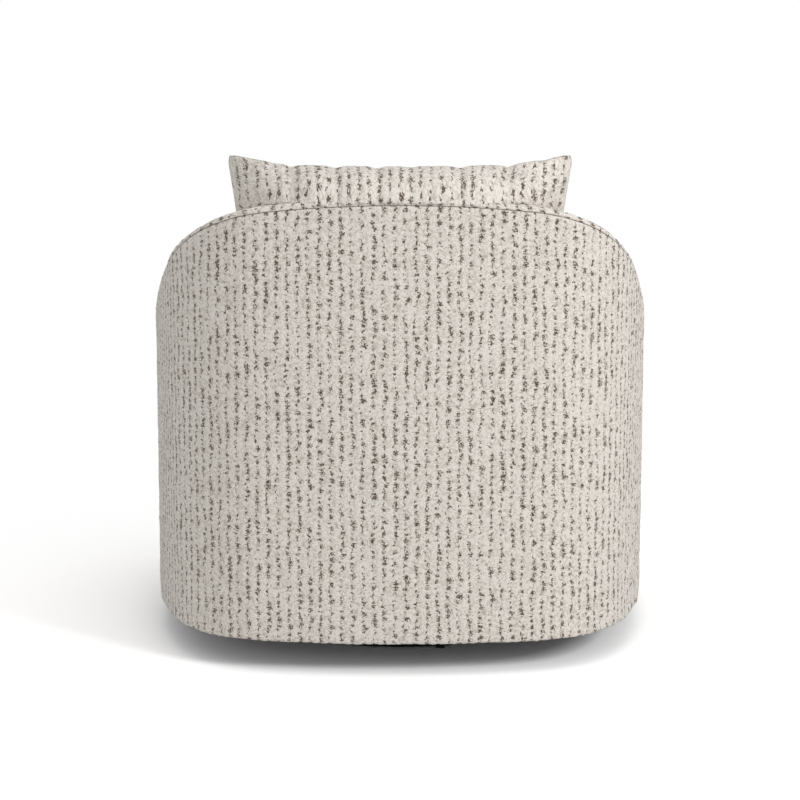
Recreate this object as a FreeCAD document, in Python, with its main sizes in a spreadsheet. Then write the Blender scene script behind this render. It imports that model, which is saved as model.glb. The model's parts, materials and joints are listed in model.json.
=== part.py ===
import FreeCAD, Part
import math
import os
import Sketcher
from FreeCAD import Placement, Rotation
from FreeCAD import Vector as V

# An upholstered barrel chair that swivels on a ring base and rocks on springs.
# The frame stands on the floor at the swivel axis. The chair faces -Y, +Z is up.

doc = FreeCAD.newDocument("SwivelRocker")
sheet = doc.addObject("Spreadsheet::Sheet", "Sizes")

# Lengths are in millimetres and turns in degrees.
SIZES = [
    # outer plan of the shell, as tangent arcs from the rear centre to the front centre
    ("half_width", 414),
    ("half_depth", 410),
    ("rear_radius", 1150),
    ("rear_turn", 10.5),
    ("rear_corner_turn", 70),
    ("front_radius", 1400),
    ("front_turn", 11.5),
    ("front_corner_turn", 84),
    ("arm_end_turn", 135),
    # heights of the shell
    ("shell_bottom", 50),
    ("deck_height", 284),
    ("back_height", 745),
    ("arm_height", 542),
    ("rim_slope_turn", 33),
    ("rim_blend_radius", 250),
    # layers of the wall
    ("wall", 95),
    ("cover", 3),
    ("layer_gap", 0.3),
    ("loft_gap", 2.0),
    ("seam_gap", 0.8),
    ("edge_turn_in", 4),
    ("board_turn_in", 6),
    ("wadding", 5.5),
    ("board", 3),
    ("frame_inset", 12.5),
    ("frame_depth", 42.5),
    ("roll_outer_radius", 9),
    ("roll_inner_radius", 40),
    ("roll_arm_radius", 20),
    ("roll_padding_drop", 34),
    # wooden frame
    ("hoop_bottom", 56),
    ("hoop_thick", 30),
    ("seat_hoop_thick", 22),
    ("seat_hoop_top", 262),
    ("top_rail_thick", 28),
    ("post_width", 40),
    ("end_post_setback", 11.5),
    ("cross_rail_place", 170),
    ("cross_rail_depth", 45),
    ("cross_rail_tall", 50),
    ("glue_block", 36),
    # seat suspension
    ("wire_thick", 4),
    ("wave_pitch", 44),
    ("wave_width", 50),
    ("wave_spacing", 84),
    ("wave_end", 56),
    ("clip_cap", 1.5),
    ("clip_wide", 16),
    ("clip_long", 9),
    ("clip_setback", 6),
    ("dust_cover_thick", 1.2),
    ("dust_hole_long", 300),
    ("dust_hole_wide", 320),
    # base
    ("ring_circle", 256),
    ("ring_tube", 10),
    ("ring_wall", 1.6),
    ("glide_thick", 3.5),
    ("glide_radius", 7),
    ("glide_stem_radius", 2.5),
    ("glide_turn", 15),
    ("glide_count", 6),
    ("glide_barb", 3),
    ("arm_bar_wide", 32),
    ("arm_bar_thick", 6),
    ("hub_radius", 76),
    # swivel bearing
    ("race_inner", 42),
    ("race_outer", 70),
    ("race_thick", 6),
    ("ball_circle", 54),
    ("ball_diameter", 8),
    ("ball_count", 16),
    ("race_gap", 3),
    ("cage_inner", 47),
    ("cage_outer", 61),
    ("cage_thick", 2),
    ("ball_clearance", 0.05),
    ("king_radius", 7),
    ("king_head_thick", 5.5),
    ("king_washer_thick", 2),
    ("king_nut_thick", 9),
    ("king_tip", 3),
    ("running_fit", 0.05),
    ("race_bolt_circle", 65),
    ("race_bolt_radius", 2.5),
    ("race_bolt_head", 4),
    ("race_bolt_set_in", 1),
    # rocking cradle and its pivot
    ("rock_height", 100),
    ("rock_back_limit", 6),
    ("rock_front_limit", 4),
    ("cradle_thick", 4),
    ("cradle_wide", 220),
    ("cradle_long", 254),
    ("cradle_end_wide", 120),
    ("cradle_end_top", 96),
    ("ear_place", 104),
    ("ear_thick", 6),
    ("ear_wide", 56),
    ("ear_top", 116),
    ("bracket_place", 113),
    ("bracket_thick", 5),
    ("bracket_low", 82),
    ("pin_radius", 5),
    ("pin_head_radius", 8),
    ("pin_head_thick", 5),
    ("pin_tip", 3),
    ("bush_wall", 2),
    ("bush_flange", 2.5),
    ("nut_thick", 7),
    ("nut_flats", 15),
    ("spring_plate_low", 131),
    ("spring_plate_thick", 4),
    ("spring_plate_reach", 5),
    ("rail_long", 400),
    ("rail_tall", 30),
    ("rail_wide", 32),
    ("rail_thick", 4),
    ("spring_across", 60),
    ("spring_along", 80),
    ("spring_radius", 18),
    ("spring_wire", 5),
    ("spring_turns", 6),
    ("cup_radius", 24),
    ("cup_rim", 1.5),
    ("cup_floor", 1.5),
    ("cup_tall", 7),
    ("bumper_long", 60),
    ("bumper_wide", 12),
    ("bolt_radius", 4),
    ("carriage_head_thick", 3),
    ("carriage_tip", 2),
    # loose seat cushion
    ("cushion_gap", 2),
    ("cushion_side_radius", 600),
    ("cushion_side_turn", 98.7),
    ("cushion_front_set", 6),
    ("cushion_corner_radius", 70),
    ("cushion_side_tall", 142),
    ("cushion_crown", 16),
    ("cushion_skin", 2.5),
    ("cushion_pull", 5),
    ("zip_wide", 8),
    ("zip_long", 420),
    # loose back pillow
    ("pillow_half_wide", 276),
    ("pillow_waist_radius", 1100),
    ("pillow_waist_half", 254),
    ("pillow_top", 801),
    ("pillow_ear_rise", 16),
    ("pillow_low_place", 185),
    ("pillow_rest_share", 0.835),
    ("pillow_top_place", 335),
    ("pillow_front_bulge", 78),
    ("pillow_overhang", 28),
    ("pillow_slump", 30),
    ("pillow_slump_half", 175),
    ("pillow_wall_gap", 1.5),
    ("pillow_skin", 2),
]

for row, (alias, value) in enumerate(SIZES, start=1):
    sheet.set(f"A{row}", alias)
    sheet.set(f"B{row}", str(value))
    sheet.setAlias(f"B{row}", alias)
doc.recompute()


def size(alias):
    return float(sheet.get(alias))


# Helpers that make document objects


def solid(kind, name, at=None, turn=None, **sizes):
    """A primitive whose sizes and place are expressions on the sheet."""
    made = doc.addObject(f"Part::{kind}", name)
    for field, text in sizes.items():
        made.setExpression(field, bound(text))
    if turn is not None:
        axis, degrees = turn
        made.Placement = Placement(V(0, 0, 0), Rotation(axis, degrees))
    for letter, text in zip("xyz", at or ()):
        if text != 0:
            made.setExpression(f"Placement.Base.{letter}", bound(text))
    return made


def bound(text):
    """An expression with each alias read from the sheet."""
    if not isinstance(text, str):
        return str(text)
    for alias in sorted((a for a, v in SIZES), key=len, reverse=True):
        text = text.replace(f"[{alias}]", f"Sizes.{alias}")
    return text


def joined(kind, name, parts):
    """A union or a group of other objects."""
    made = doc.addObject(f"Part::{kind}", name)
    if kind == "Compound":
        made.Links = parts
    else:
        made.Shapes = parts
    return made


def cut(name, base, tool):
    made = doc.addObject("Part::Cut", name)
    made.Base = base
    made.Tool = tool
    return made


def shaped(name, shape):
    """An object whose form none of the primitives gives."""
    made = doc.addObject("Part::Feature", name)
    made.Shape = shape
    made.Placement = Placement()
    return made


PARTS = []


def part(name, made):
    """Gives a finished sub-part its name."""
    made.Label = name
    PARTS.append(made)
    return made


# How far a tool reaches past what it cuts
OVERCUT = 1


# The plan of the shell: an outward normal turns from the rear, 0, through the side, 90, to the front, 180


def normal(turn):
    return V(math.sin(math.radians(turn)), math.cos(math.radians(turn)), 0)


def along(turn):
    return V(math.cos(math.radians(turn)), -math.sin(math.radians(turn)), 0)


def quarter_radii(first_radius, first_turn, corner_turn):
    """The corner and side radii that reach the half width and half depth."""
    s1, c1 = math.sin(math.radians(first_turn)), math.cos(math.radians(first_turn))
    s2, c2 = math.sin(math.radians(corner_turn)), math.cos(math.radians(corner_turn))
    across = size("half_width") - first_radius * s1
    deep = size("half_depth") - first_radius * (1 - c1)
    spread = (s2 - s1) * c2 - (1 - s2) * (c1 - c2)
    corner = (across * c2 - deep * (1 - s2)) / spread
    side = ((s2 - s1) * deep - (c1 - c2) * across) / spread
    return corner, side


def plan_arcs():
    """The arcs of one half: start turn, end turn, centre and radius."""
    rear, front = size("rear_radius"), size("front_radius")
    rear_corner, rear_side = quarter_radii(rear, size("rear_turn"), size("rear_corner_turn"))
    front_corner, front_side = quarter_radii(front, size("front_turn"), size("front_corner_turn"))
    turns = [
        (0, rear),
        (size("rear_turn"), rear_corner),
        (size("rear_corner_turn"), rear_side),
        (90, front_side),
        (180 - size("front_corner_turn"), front_corner),
        (180 - size("front_turn"), front),
    ]
    centre = V(0, size("half_depth") - rear, 0)
    arcs = []
    for k, (start, radius) in enumerate(turns):
        if k:
            centre = centre + normal(start) * (turns[k - 1][1] - radius)
        end = turns[k + 1][0] if k < 5 else 180
        arcs.append((start, end, centre, radius))
    return arcs


ARCS = plan_arcs()


def plan_point(turn, inset):
    """The point of the plan at a turn from -180 to 180, moved inwards by the inset."""
    for start, end, centre, radius in ARCS:
        if abs(turn) <= end + 1e-9:
            found = centre + normal(abs(turn)) * (radius - inset)
            return V(math.copysign(found.x, turn) if turn else found.x, found.y, 0)
    raise ValueError(turn)


def plan_stops(low, high):
    """The turns between two limits at which one arc gives way to the next."""
    joints = [end for start, end, centre, radius in ARCS if end < 180]
    stops = sorted([-t for t in joints] + joints + [360 - t for t in joints])
    return [low] + [t for t in stops if low + 0.01 < t < high - 0.01] + [high]


def folded(turn):
    """A turn past the front centre, brought back between -180 and 180."""
    return turn - 360 if turn > 180 else turn


def plan_edges(low, high, inset):
    """Arcs of the plan from one turn to another, with the front centre at 180."""
    stops = plan_stops(low, high)
    edges = []
    for a, b in zip(stops, stops[1:]):
        ends = [plan_point(folded(t), inset) for t in (a, (a + b) / 2, b)]
        edges.append(Part.Arc(*ends).toShape())
    return edges


def plan_face(inset):
    front = 180 - size("front_turn")
    return Part.Face(Part.Wire(plan_edges(-front, 360 - front, inset)))


def plan_band(low, high, outer, inner):
    """A strip of the plan between two insets and two turns."""
    edges = plan_edges(low, high, outer) + plan_edges(low, high, inner)
    for t in (low, high):
        ends = plan_point(folded(t), outer), plan_point(folded(t), inner)
        edges.append(Part.LineSegment(*ends).toShape())
    return Part.Face(Part.Wire(Part.__sortEdges__(edges)))


def raised(face, low, high):
    lifted = face.copy()
    lifted.translate(V(0, 0, low))
    return lifted.extrude(V(0, 0, high - low))


# The rim: the seam's height falls from the back along a slope and blends into the level arms


def rim_height(turn):
    back = size("half_depth") - plan_point(turn, 0).y
    slope = math.radians(size("rim_slope_turn"))
    drop = size("back_height") - size("arm_height")
    radius = size("rim_blend_radius")
    meet = drop / math.tan(slope)
    tangent = radius * math.tan(slope / 2)
    if back < meet - tangent * math.cos(slope):
        return size("back_height") - back * math.tan(slope)
    if back < meet + tangent:
        reach = meet + tangent - back
        return size("arm_height") + radius - math.sqrt(radius**2 - reach**2)
    return size("arm_height")


def rim_turns():
    """Stations round the wall from one arm's end to the other's."""
    end = size("arm_end_turn")
    half = []
    for low, high in zip(plan_stops(0, end), plan_stops(0, end)[1:]):
        radius = next(r for a, b, c, r in ARCS if a <= low < b - 0.01)
        count = max(2, round(radius * math.radians(high - low) / 38))
        half += [low + (high - low) * k / count for k in range(count)]
    half.append(end)
    return [-t for t in reversed(half[1:])] + half


# Reach of the rim's cutting sheet past the wall's faces
RIM_REACH_OUT = 25
RIM_REACH_IN = 8


def above_rim(drop):
    """The space above the rim lowered by a drop, to cut walls with."""
    outer, inner = [], []
    for turn in rim_turns():
        up = V(0, 0, rim_height(turn) - drop)
        outer.append(plan_point(turn, -RIM_REACH_OUT) + up)
        inner.append(plan_point(turn, size("wall") + RIM_REACH_IN) + up)
    for side in (-1, 1):
        turn = side * size("arm_end_turn")
        step = along(turn) * side * RIM_REACH_OUT
        place = len(outer) if side > 0 else 0
        outer.insert(place, outer[place - 1 if side > 0 else 0] + step)
        inner.insert(place, inner[place - 1 if side > 0 else 0] + step)
    curves = []
    for points in (outer, inner):
        curve = Part.BSplineCurve()
        curve.interpolate(points)
        curves.append(curve.toShape())
    sheet_face = Part.makeRuledSurface(*curves)
    return sheet_face.extrude(V(0, 0, 2 * size("back_height")))


def wall_layer(outer, inner, low, drop):
    """An upright layer of the wall between two insets, cut along the rim."""
    end = size("arm_end_turn")
    block = raised(plan_band(-end, end, outer, inner), low, 2 * size("back_height"))
    return block.cut(above_rim(drop))


# The roll over the top of the wall, drawn across the wall and carried round it


def roll_radii(turn):
    """The outer and inner rounding of the roll, alike at the arm's end."""
    end = size("arm_end_turn")
    share = min(1.0, max(0.0, (abs(turn) - 80) / (end - 80)))
    ease = share * share * (3 - 2 * share)
    arm = size("roll_arm_radius")
    outer = size("roll_outer_radius")
    inner = size("roll_inner_radius")
    return outer + (arm - outer) * ease, inner + (arm - inner) * ease


def crest(turn):
    return rim_height(turn) + roll_radii(turn)[0]


def across_wall(turn, inset, height):
    return plan_point(turn, inset) + V(0, 0, height)


def round_corner(turn, inset, height, radius, side):
    """A quarter arc at a corner of the wall's section, towards its outer or inner side."""
    lean = radius * (1 - math.sqrt(0.5))
    start = across_wall(turn, inset, height - radius)
    middle = across_wall(turn, inset + side * lean, height - lean)
    return Part.Arc(start, middle, across_wall(turn, inset + side * radius, height)).toShape()


def top_section(turn, skin, outer_leg, inner_leg, inside=None):
    """The wall's rounded top at a turn: solid below a skin, or the skin itself."""
    outer, inner = roll_radii(turn)
    high = crest(turn)
    wall = size("wall")

    def arch(depth):
        out_r, in_r = outer - depth, inner - depth
        top = high - depth
        edges = [round_corner(turn, depth, top, out_r, 1)]
        flat = [across_wall(turn, inset, top) for inset in (depth + out_r, wall - depth - in_r)]
        edges.append(line(*flat))
        edges.append(round_corner(turn, wall - depth, top, in_r, -1))
        return edges, across_wall(turn, depth, top - out_r), across_wall(turn, wall - depth, top - in_r)

    def foot(inset, top_point, leg):
        return across_wall(turn, inset, leg(turn)) if leg(turn) < top_point.z - 0.01 else None

    edges, left, right = arch(skin)
    left_foot = foot(skin, left, outer_leg)
    right_foot = foot(wall - skin, right, inner_leg)
    if left_foot:
        edges.append(line(left, left_foot))
    edges.append(line(right, right_foot))
    if inside is None:
        edges.append(line(left_foot or left, right_foot))
        return Part.Wire(Part.__sortEdges__(edges))
    inner_edges, inner_left, inner_right = arch(inside)
    inner_left_foot = foot(inside, inner_left, outer_leg)
    inner_right_foot = foot(wall - inside, inner_right, inner_leg)
    if inner_left_foot:
        inner_edges.append(line(inner_left, inner_left_foot))
    inner_edges.append(line(inner_right, inner_right_foot))
    inner_edges.append(line(left_foot or left, inner_left_foot or inner_left))
    inner_edges.append(line(right_foot, inner_right_foot))
    return Part.Wire(Part.__sortEdges__(edges + inner_edges))


def line(a, b):
    return Part.LineSegment(a, b).toShape()


def nose(turn, skin, low, inside=None):
    """The arm's rounded front end: half a turn of the wall's inner half section."""
    side = math.copysign(1, turn)
    wall = size("wall")
    middle = plan_point(turn, wall / 2)
    radius, high = roll_radii(turn)[1], crest(turn)

    def half(depth):
        in_r, top = radius - depth, high - depth
        corner = across_wall(turn, wall - depth, top - in_r)
        edges = [line(middle + V(0, 0, top), across_wall(turn, wall - depth - in_r, top))]
        edges.append(round_corner(turn, wall - depth, top, in_r, -1))
        edges.append(line(corner, across_wall(turn, wall - depth, low)))
        return edges, middle + V(0, 0, top), across_wall(turn, wall - depth, low)

    edges, top_point, foot_point = half(skin)
    if inside is None:
        axis_foot = middle + V(0, 0, low)
        edges += [line(top_point, axis_foot), line(axis_foot, foot_point)]
    else:
        inner_edges, inner_top, inner_foot = half(inside)
        edges += inner_edges + [line(top_point, inner_top), line(foot_point, inner_foot)]
    face = Part.Face(Part.Wire(Part.__sortEdges__(edges)))
    return face.revolve(middle, V(0, 0, 1), 180 * side)


def lofted(wires):
    return Part.makeLoft(wires, True, False, False, 5)


# Base on the floor


def on_circle(radius, degrees):
    return (f"{radius}*cos({degrees}*1deg)", f"{radius}*sin({degrees}*1deg)")


def make_base():
    ring_centre = "[glide_thick]+[ring_tube]"
    tube = solid(
        "Torus", "ring_outside", (0, 0, ring_centre), Radius1="[ring_circle]", Radius2="[ring_tube]"
    )
    hollow = solid(
        "Torus",
        "ring_inside",
        (0, 0, ring_centre),
        Radius1="[ring_circle]",
        Radius2="[ring_tube]-[ring_wall]",
    )
    discs, stems, holes = [], [], []
    count = round(size("glide_count"))
    for k in range(count):
        turn = f"(90+[glide_turn]+{k}*360/{count})"
        x, y = on_circle("[ring_circle]", turn)
        discs.append(
            solid("Cylinder", "glide_disc", (x, y, 0), Radius="[glide_radius]", Height="[glide_thick]")
        )
        stems.append(
            solid(
                "Cylinder",
                "glide_stem",
                (x, y, "[glide_thick]"),
                Radius="[glide_stem_radius]",
                Height="[ring_wall]+[glide_barb]",
            )
        )
        holes.append(
            solid(
                "Cylinder",
                "glide_hole",
                (x, y, 0),
                Radius="[glide_stem_radius]",
                Height="[glide_thick]+[ring_tube]",
            )
        )
    ring = cut("ring_tube_solid", tube, joined("Compound", "ring_voids", [hollow] + holes))
    part("base_ring", ring)
    glides = [joined("MultiFuse", "glide", [disc, stem]) for disc, stem in zip(discs, stems)]
    part("floor_glides", joined("Compound", "glides", glides))

    bar_low = "[glide_thick]+[ring_tube]-[arm_bar_thick]/2"
    hub = solid("Cylinder", "hub_disc", (0, 0, bar_low), Radius="[hub_radius]", Height="[arm_bar_thick]")
    bars = [
        solid(
            "Box",
            "arm_bar",
            ("-[ring_circle]", "-[arm_bar_wide]/2", bar_low),
            Length="2*[ring_circle]",
            Width="[arm_bar_wide]",
            Height="[arm_bar_thick]",
        ),
        solid(
            "Box",
            "arm_bar",
            ("-[arm_bar_wide]/2", "-[ring_circle]", bar_low),
            Length="[arm_bar_wide]",
            Width="2*[ring_circle]",
            Height="[arm_bar_thick]",
        ),
    ]
    star = joined("MultiFuse", "star", [hub] + bars)
    king_hole = solid("Cylinder", "king_hole", Radius="[king_radius]", Height="3*[ring_tube]")
    bolt_holes = [
        solid("Cylinder", "race_hole", (*xy, 0), Radius="[race_bolt_radius]", Height="3*[ring_tube]")
        for xy in race_bolt_places(0)
    ]
    ring_space = solid(
        "Torus", "ring_space", (0, 0, ring_centre), Radius1="[ring_circle]", Radius2="[ring_tube]"
    )
    part(
        "base_arms",
        cut("star_cut", star, joined("Compound", "star_voids", [king_hole, ring_space] + bolt_holes)),
    )


def race_bolt_places(first):
    return [on_circle("[race_bolt_circle]", first + 90 * k) for k in range(4)]


BAR_TOP = "[glide_thick]+[ring_tube]+[arm_bar_thick]/2"
LOWER_TOP = f"{BAR_TOP}+[race_thick]"
TRACK = f"{LOWER_TOP}+[race_gap]/2"
UPPER_LOW = f"{LOWER_TOP}+[race_gap]"
CRADLE_LOW = f"{UPPER_LOW}+[race_thick]"
CRADLE_TOP = f"{CRADLE_LOW}+[cradle_thick]"
# the upper race's bolts stand halfway between the lower one's
UPPER_BOLT_TURN = 45


def ring_body(name, inner, outer, low, high):
    """A turned ring: a rectangle with four sizes, revolved about the swivel axis."""
    body = doc.addObject("PartDesign::Body", name)
    plane = next(f for f in body.Origin.OriginFeatures if f.Role == "XZ_Plane")
    sketch = body.newObject("Sketcher::SketchObject", name + "_profile")
    sketch.AttachmentSupport = (plane, [""])
    sketch.MapMode = "FlatFace"
    corners = [V(1, 0, 0), V(2, 0, 0), V(2, 1, 0), V(1, 1, 0)]
    for k in range(4):
        sketch.addGeometry(Part.LineSegment(corners[k], corners[(k + 1) % 4]), False)
    for k in range(4):
        sketch.addConstraint(Sketcher.Constraint("Coincident", k, 2, (k + 1) % 4, 1))
    for k, kind in enumerate(("Horizontal", "Vertical", "Horizontal", "Vertical")):
        sketch.addConstraint(Sketcher.Constraint(kind, k))
    wanted = (
        ("inner", "DistanceX", 0, inner),
        ("outer", "DistanceX", 1, outer),
        ("low", "DistanceY", 0, low),
        ("high", "DistanceY", 2, high),
    )
    starts = {"inner": 1, "outer": 2, "low": 0.1, "high": 1}
    for label, kind, edge, text in wanted:
        number = sketch.addConstraint(Sketcher.Constraint(kind, -1, 1, edge, 1, starts[label]))
        sketch.renameConstraint(number, label)
        sketch.setExpression(f"Constraints.{label}", bound(text))
    turned = body.newObject("PartDesign::Revolution", name + "_turned")
    turned.Profile = sketch
    turned.ReferenceAxis = (sketch, ["V_Axis"])
    turned.Angle = 360
    return body


def make_bearing():
    for name, low, first in (
        ("bearing_lower_race", BAR_TOP, 0),
        ("bearing_upper_race", UPPER_LOW, UPPER_BOLT_TURN),
    ):
        blank = ring_body(name + "_blank", "[race_inner]", "[race_outer]", low, f"{low}+[race_thick]")
        track = solid(
            "Torus",
            name + "_track",
            (0, 0, TRACK),
            Radius1="[ball_circle]",
            Radius2="[ball_diameter]/2+[ball_clearance]",
        )
        holes = [
            solid("Cylinder", "bolt_hole", (*xy, low), Radius="[race_bolt_radius]", Height="[race_thick]")
            for xy in race_bolt_places(first)
        ]
        part(name, cut(name + "_cut", blank, joined("Compound", name + "_voids", [track] + holes)))

    count = round(size("ball_count"))
    blank = ring_body(
        "cage_blank", "[cage_inner]", "[cage_outer]", f"{TRACK}-[cage_thick]/2", f"{TRACK}+[cage_thick]/2"
    )
    balls, pockets = [], []
    for k in range(count):
        x, y = on_circle("[ball_circle]", 360 / count * k)
        balls.append(solid("Sphere", "ball", (x, y, TRACK), Radius="[ball_diameter]/2"))
        pockets.append(
            solid("Sphere", "pocket", (x, y, TRACK), Radius="[ball_diameter]/2+[ball_clearance]")
        )
    part("bearing_cage", cut("cage_cut", blank, joined("Compound", "cage_pockets", pockets)))
    part("bearing_balls", joined("Compound", "balls", balls))

    bolts = []
    for xy in race_bolt_places(0):
        head_low = f"{BAR_TOP}-[arm_bar_thick]-[race_bolt_head]"
        stem_low = f"{BAR_TOP}-[arm_bar_thick]"
        bolts.append(race_bolt(xy, head_low, stem_low, "[arm_bar_thick]+[race_thick]-[race_bolt_set_in]"))
    part("lower_race_bolts", joined("Compound", "lower_bolts", bolts))
    bolts = []
    for xy in race_bolt_places(UPPER_BOLT_TURN):
        stem_low = f"{UPPER_LOW}+[race_bolt_set_in]"
        bolts.append(race_bolt(xy, CRADLE_TOP, stem_low, "[race_thick]+[cradle_thick]-[race_bolt_set_in]"))
    part("upper_race_bolts", joined("Compound", "upper_bolts", bolts))
    make_king_bolt()


def race_bolt(xy, head_low, stem_low, stem_long):
    head = solid(
        "Cylinder", "bolt_head", (*xy, head_low), Radius="1.8*[race_bolt_radius]", Height="[race_bolt_head]"
    )
    stem = solid("Cylinder", "bolt_stem", (*xy, stem_low), Radius="[race_bolt_radius]", Height=stem_long)
    return joined("MultiFuse", "race_bolt", [head, stem])


def make_king_bolt():
    """The bolt through the bearing, with its washer and nut on the cradle."""
    king_head = solid(
        "Cylinder",
        "king_head",
        (0, 0, f"{BAR_TOP}-[arm_bar_thick]-[king_head_thick]"),
        Radius="1.7*[king_radius]",
        Height="[king_head_thick]",
    )
    stack_tall = "[layer_gap]+[king_washer_thick]+[king_nut_thick]+[king_tip]"
    king_stem = solid(
        "Cylinder",
        "king_stem",
        (0, 0, f"{BAR_TOP}-[arm_bar_thick]"),
        Radius="[king_radius]",
        Height=f"{CRADLE_TOP}-({BAR_TOP})+[arm_bar_thick]+{stack_tall}",
    )
    part("king_bolt", joined("MultiFuse", "king", [king_head, king_stem]))
    washer = solid(
        "Cylinder",
        "washer_blank",
        (0, 0, f"{CRADLE_TOP}+[layer_gap]"),
        Radius="2*[king_radius]",
        Height="[king_washer_thick]",
    )
    nut_low = f"{CRADLE_TOP}+[layer_gap]+[king_washer_thick]"
    nut = hexagon("king_nut_blank", nut_low, "1.9*[king_radius]", "[king_nut_thick]")
    stack = joined("MultiFuse", "nut_on_washer", [washer, nut])
    bore = solid("Cylinder", "king_nut_bore", (0, 0, CRADLE_TOP), Radius="[king_radius]", Height=stack_tall)
    part("king_nut", cut("king_nut_cut", stack, bore))


def hexagon(name, low, circle, tall):
    made = doc.addObject("Part::Prism", name)
    made.Polygon = 6
    made.setExpression("Circumradius", bound(circle))
    made.setExpression("Height", bound(str(tall)))
    made.setExpression("Placement.Base.z", bound(low))
    return made


# Cradle: the pressed plate that swivels, with ears for the rocking pivot

SIDEWAYS = (V(0, 1, 0), 90)


def mirrored_pair(name, source):
    """The same piece on the left, as a mirror of the one on the right."""
    twin = doc.addObject("Part::Mirroring", name + "_twin")
    twin.Source = source
    twin.Normal = V(1, 0, 0)
    return joined("Compound", name + "_pair", [source, twin])


def box(name, low, high):
    """A box between two corners given as expressions."""
    spans = [f"({b})-({a})" for a, b in zip(low, high)]
    return solid("Box", name, low, Length=spans[0], Width=spans[1], Height=spans[2])


def make_cradle():
    half_wide, half_long = "[cradle_wide]/2", "[cradle_long]/2"
    plate = box(
        "cradle_floor", (f"-{half_wide}", f"-{half_long}", CRADLE_LOW), (half_wide, half_long, CRADLE_TOP)
    )
    ends = [
        box(
            "cradle_end",
            ("-[cradle_end_wide]/2", low, CRADLE_LOW),
            ("[cradle_end_wide]/2", high, "[cradle_end_top]"),
        )
        for low, high in (
            (f"-{half_long}", f"-{half_long}+[cradle_thick]"), (f"{half_long}-[cradle_thick]", half_long)
        )
    ]
    for end, y in zip(("front", "rear"), (f"-{half_long}", f"{half_long}-[bumper_wide]")):
        ends.append(
            box(
                f"bumper_shelf_{end}",
                ("-[bumper_long]/2", y, "[cradle_end_top]-[cradle_thick]"),
                ("[bumper_long]/2", f"{y}+[bumper_wide]", "[cradle_end_top]"),
            )
        )
    ears = []
    for low, high in (
        ("[ear_place]", "[ear_place]+[ear_thick]"), ("-[ear_place]-[ear_thick]", "-[ear_place]")
    ):
        ears.append(box("ear", (low, "-[ear_wide]/2", CRADLE_LOW), (high, "[ear_wide]/2", "[ear_top]")))
    body = joined("MultiFuse", "cradle_body", [plate] + ends + ears)
    reach = "[ear_place]+[ear_thick]"
    pivot = solid(
        "Cylinder",
        "pivot_bore",
        (f"-({reach})", 0, "[rock_height]"),
        SIDEWAYS,
        Radius="[pin_radius]+[bush_wall]",
        Height=f"2*({reach})",
    )
    king = solid("Cylinder", "king_bore", Radius="[king_radius]+[running_fit]", Height="[rock_height]/2")
    holes = [
        solid("Cylinder", "bolt_bore", (*xy, 0), Radius="[race_bolt_radius]", Height="[rock_height]/2")
        for xy in race_bolt_places(UPPER_BOLT_TURN)
    ]
    part("rocker_cradle", cut("cradle_cut", body, joined("Compound", "cradle_voids", [pivot, king] + holes)))

    sleeve = solid(
        "Cylinder",
        "bush_sleeve",
        ("[ear_place]", 0, "[rock_height]"),
        SIDEWAYS,
        Radius="[pin_radius]+[bush_wall]",
        Height="[ear_thick]",
    )
    flange = solid(
        "Cylinder",
        "bush_flange_disc",
        ("[ear_place]+[ear_thick]", 0, "[rock_height]"),
        SIDEWAYS,
        Radius="[pin_radius]+2*[bush_wall]",
        Height="[bush_flange]",
    )
    bore = solid(
        "Cylinder",
        "bush_bore",
        ("[ear_place]", 0, "[rock_height]"),
        SIDEWAYS,
        Radius="[pin_radius]+[running_fit]",
        Height="[ear_thick]+[bush_flange]",
    )
    bush = cut("bush", joined("MultiFuse", "bush_blank", [sleeve, flange]), bore)
    part("pivot_bushes", mirrored_pair("bush", bush))

    bumpers = []
    for end, limit in (("front", "[rock_front_limit]"), ("rear", "[rock_back_limit]")):
        low_y = f"-{half_long}" if end == "front" else f"{half_long}-[bumper_wide]"
        drop = f"([spring_plate_low]-[rock_height])*cos({limit}*1deg)-{half_long}*sin({limit}*1deg)"
        top = f"[rock_height]+{drop}-2*[layer_gap]"
        bumpers.append(
            box(
                f"bumper_{end}",
                ("-[bumper_long]/2", low_y, "[cradle_end_top]"),
                ("[bumper_long]/2", f"{low_y}+[bumper_wide]", top),
            )
        )
    part("rock_bumpers", joined("Compound", "bumpers", bumpers))


def spring_places():
    return [
        (x, y)
        for x in ("-[spring_across]", "[spring_across]")
        for y in ("-[spring_along]", "[spring_along]")
    ]


def cups(name, low, opens_up):
    made = []
    for x, y in spring_places():
        blank = solid("Cylinder", name + "_blank", (x, y, low), Radius="[cup_radius]", Height="[cup_tall]")
        floor = f"{low}+[cup_floor]" if opens_up else low
        hollow = solid(
            "Cylinder",
            name + "_hollow",
            (x, y, floor),
            Radius="[cup_radius]-[cup_rim]",
            Height="[cup_tall]-[cup_floor]",
        )
        made.append(cut(name + "_cup", blank, hollow))
    part(name, joined("Compound", name + "_set", made))


def coil(centre, low, high):
    """A coil spring as one unbroken tube round an upright helix, with ground ends."""
    wire = size("spring_wire")
    tall = high - low - wire
    pitch = tall / size("spring_turns")
    helix = Part.makeHelix(pitch, tall, size("spring_radius"))
    ring = Part.Wire([Part.makeCircle(wire / 2, V(size("spring_radius"), 0, 0), V(0, 1, 0))])
    tube = Part.Wire(helix.Edges).makePipeShell([ring], True, True)
    tube.translate(V(centre[0], centre[1], low + wire / 2))
    print(f"rocker spring gap between turns {pitch - wire:.1f} mm")
    return tube


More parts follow.
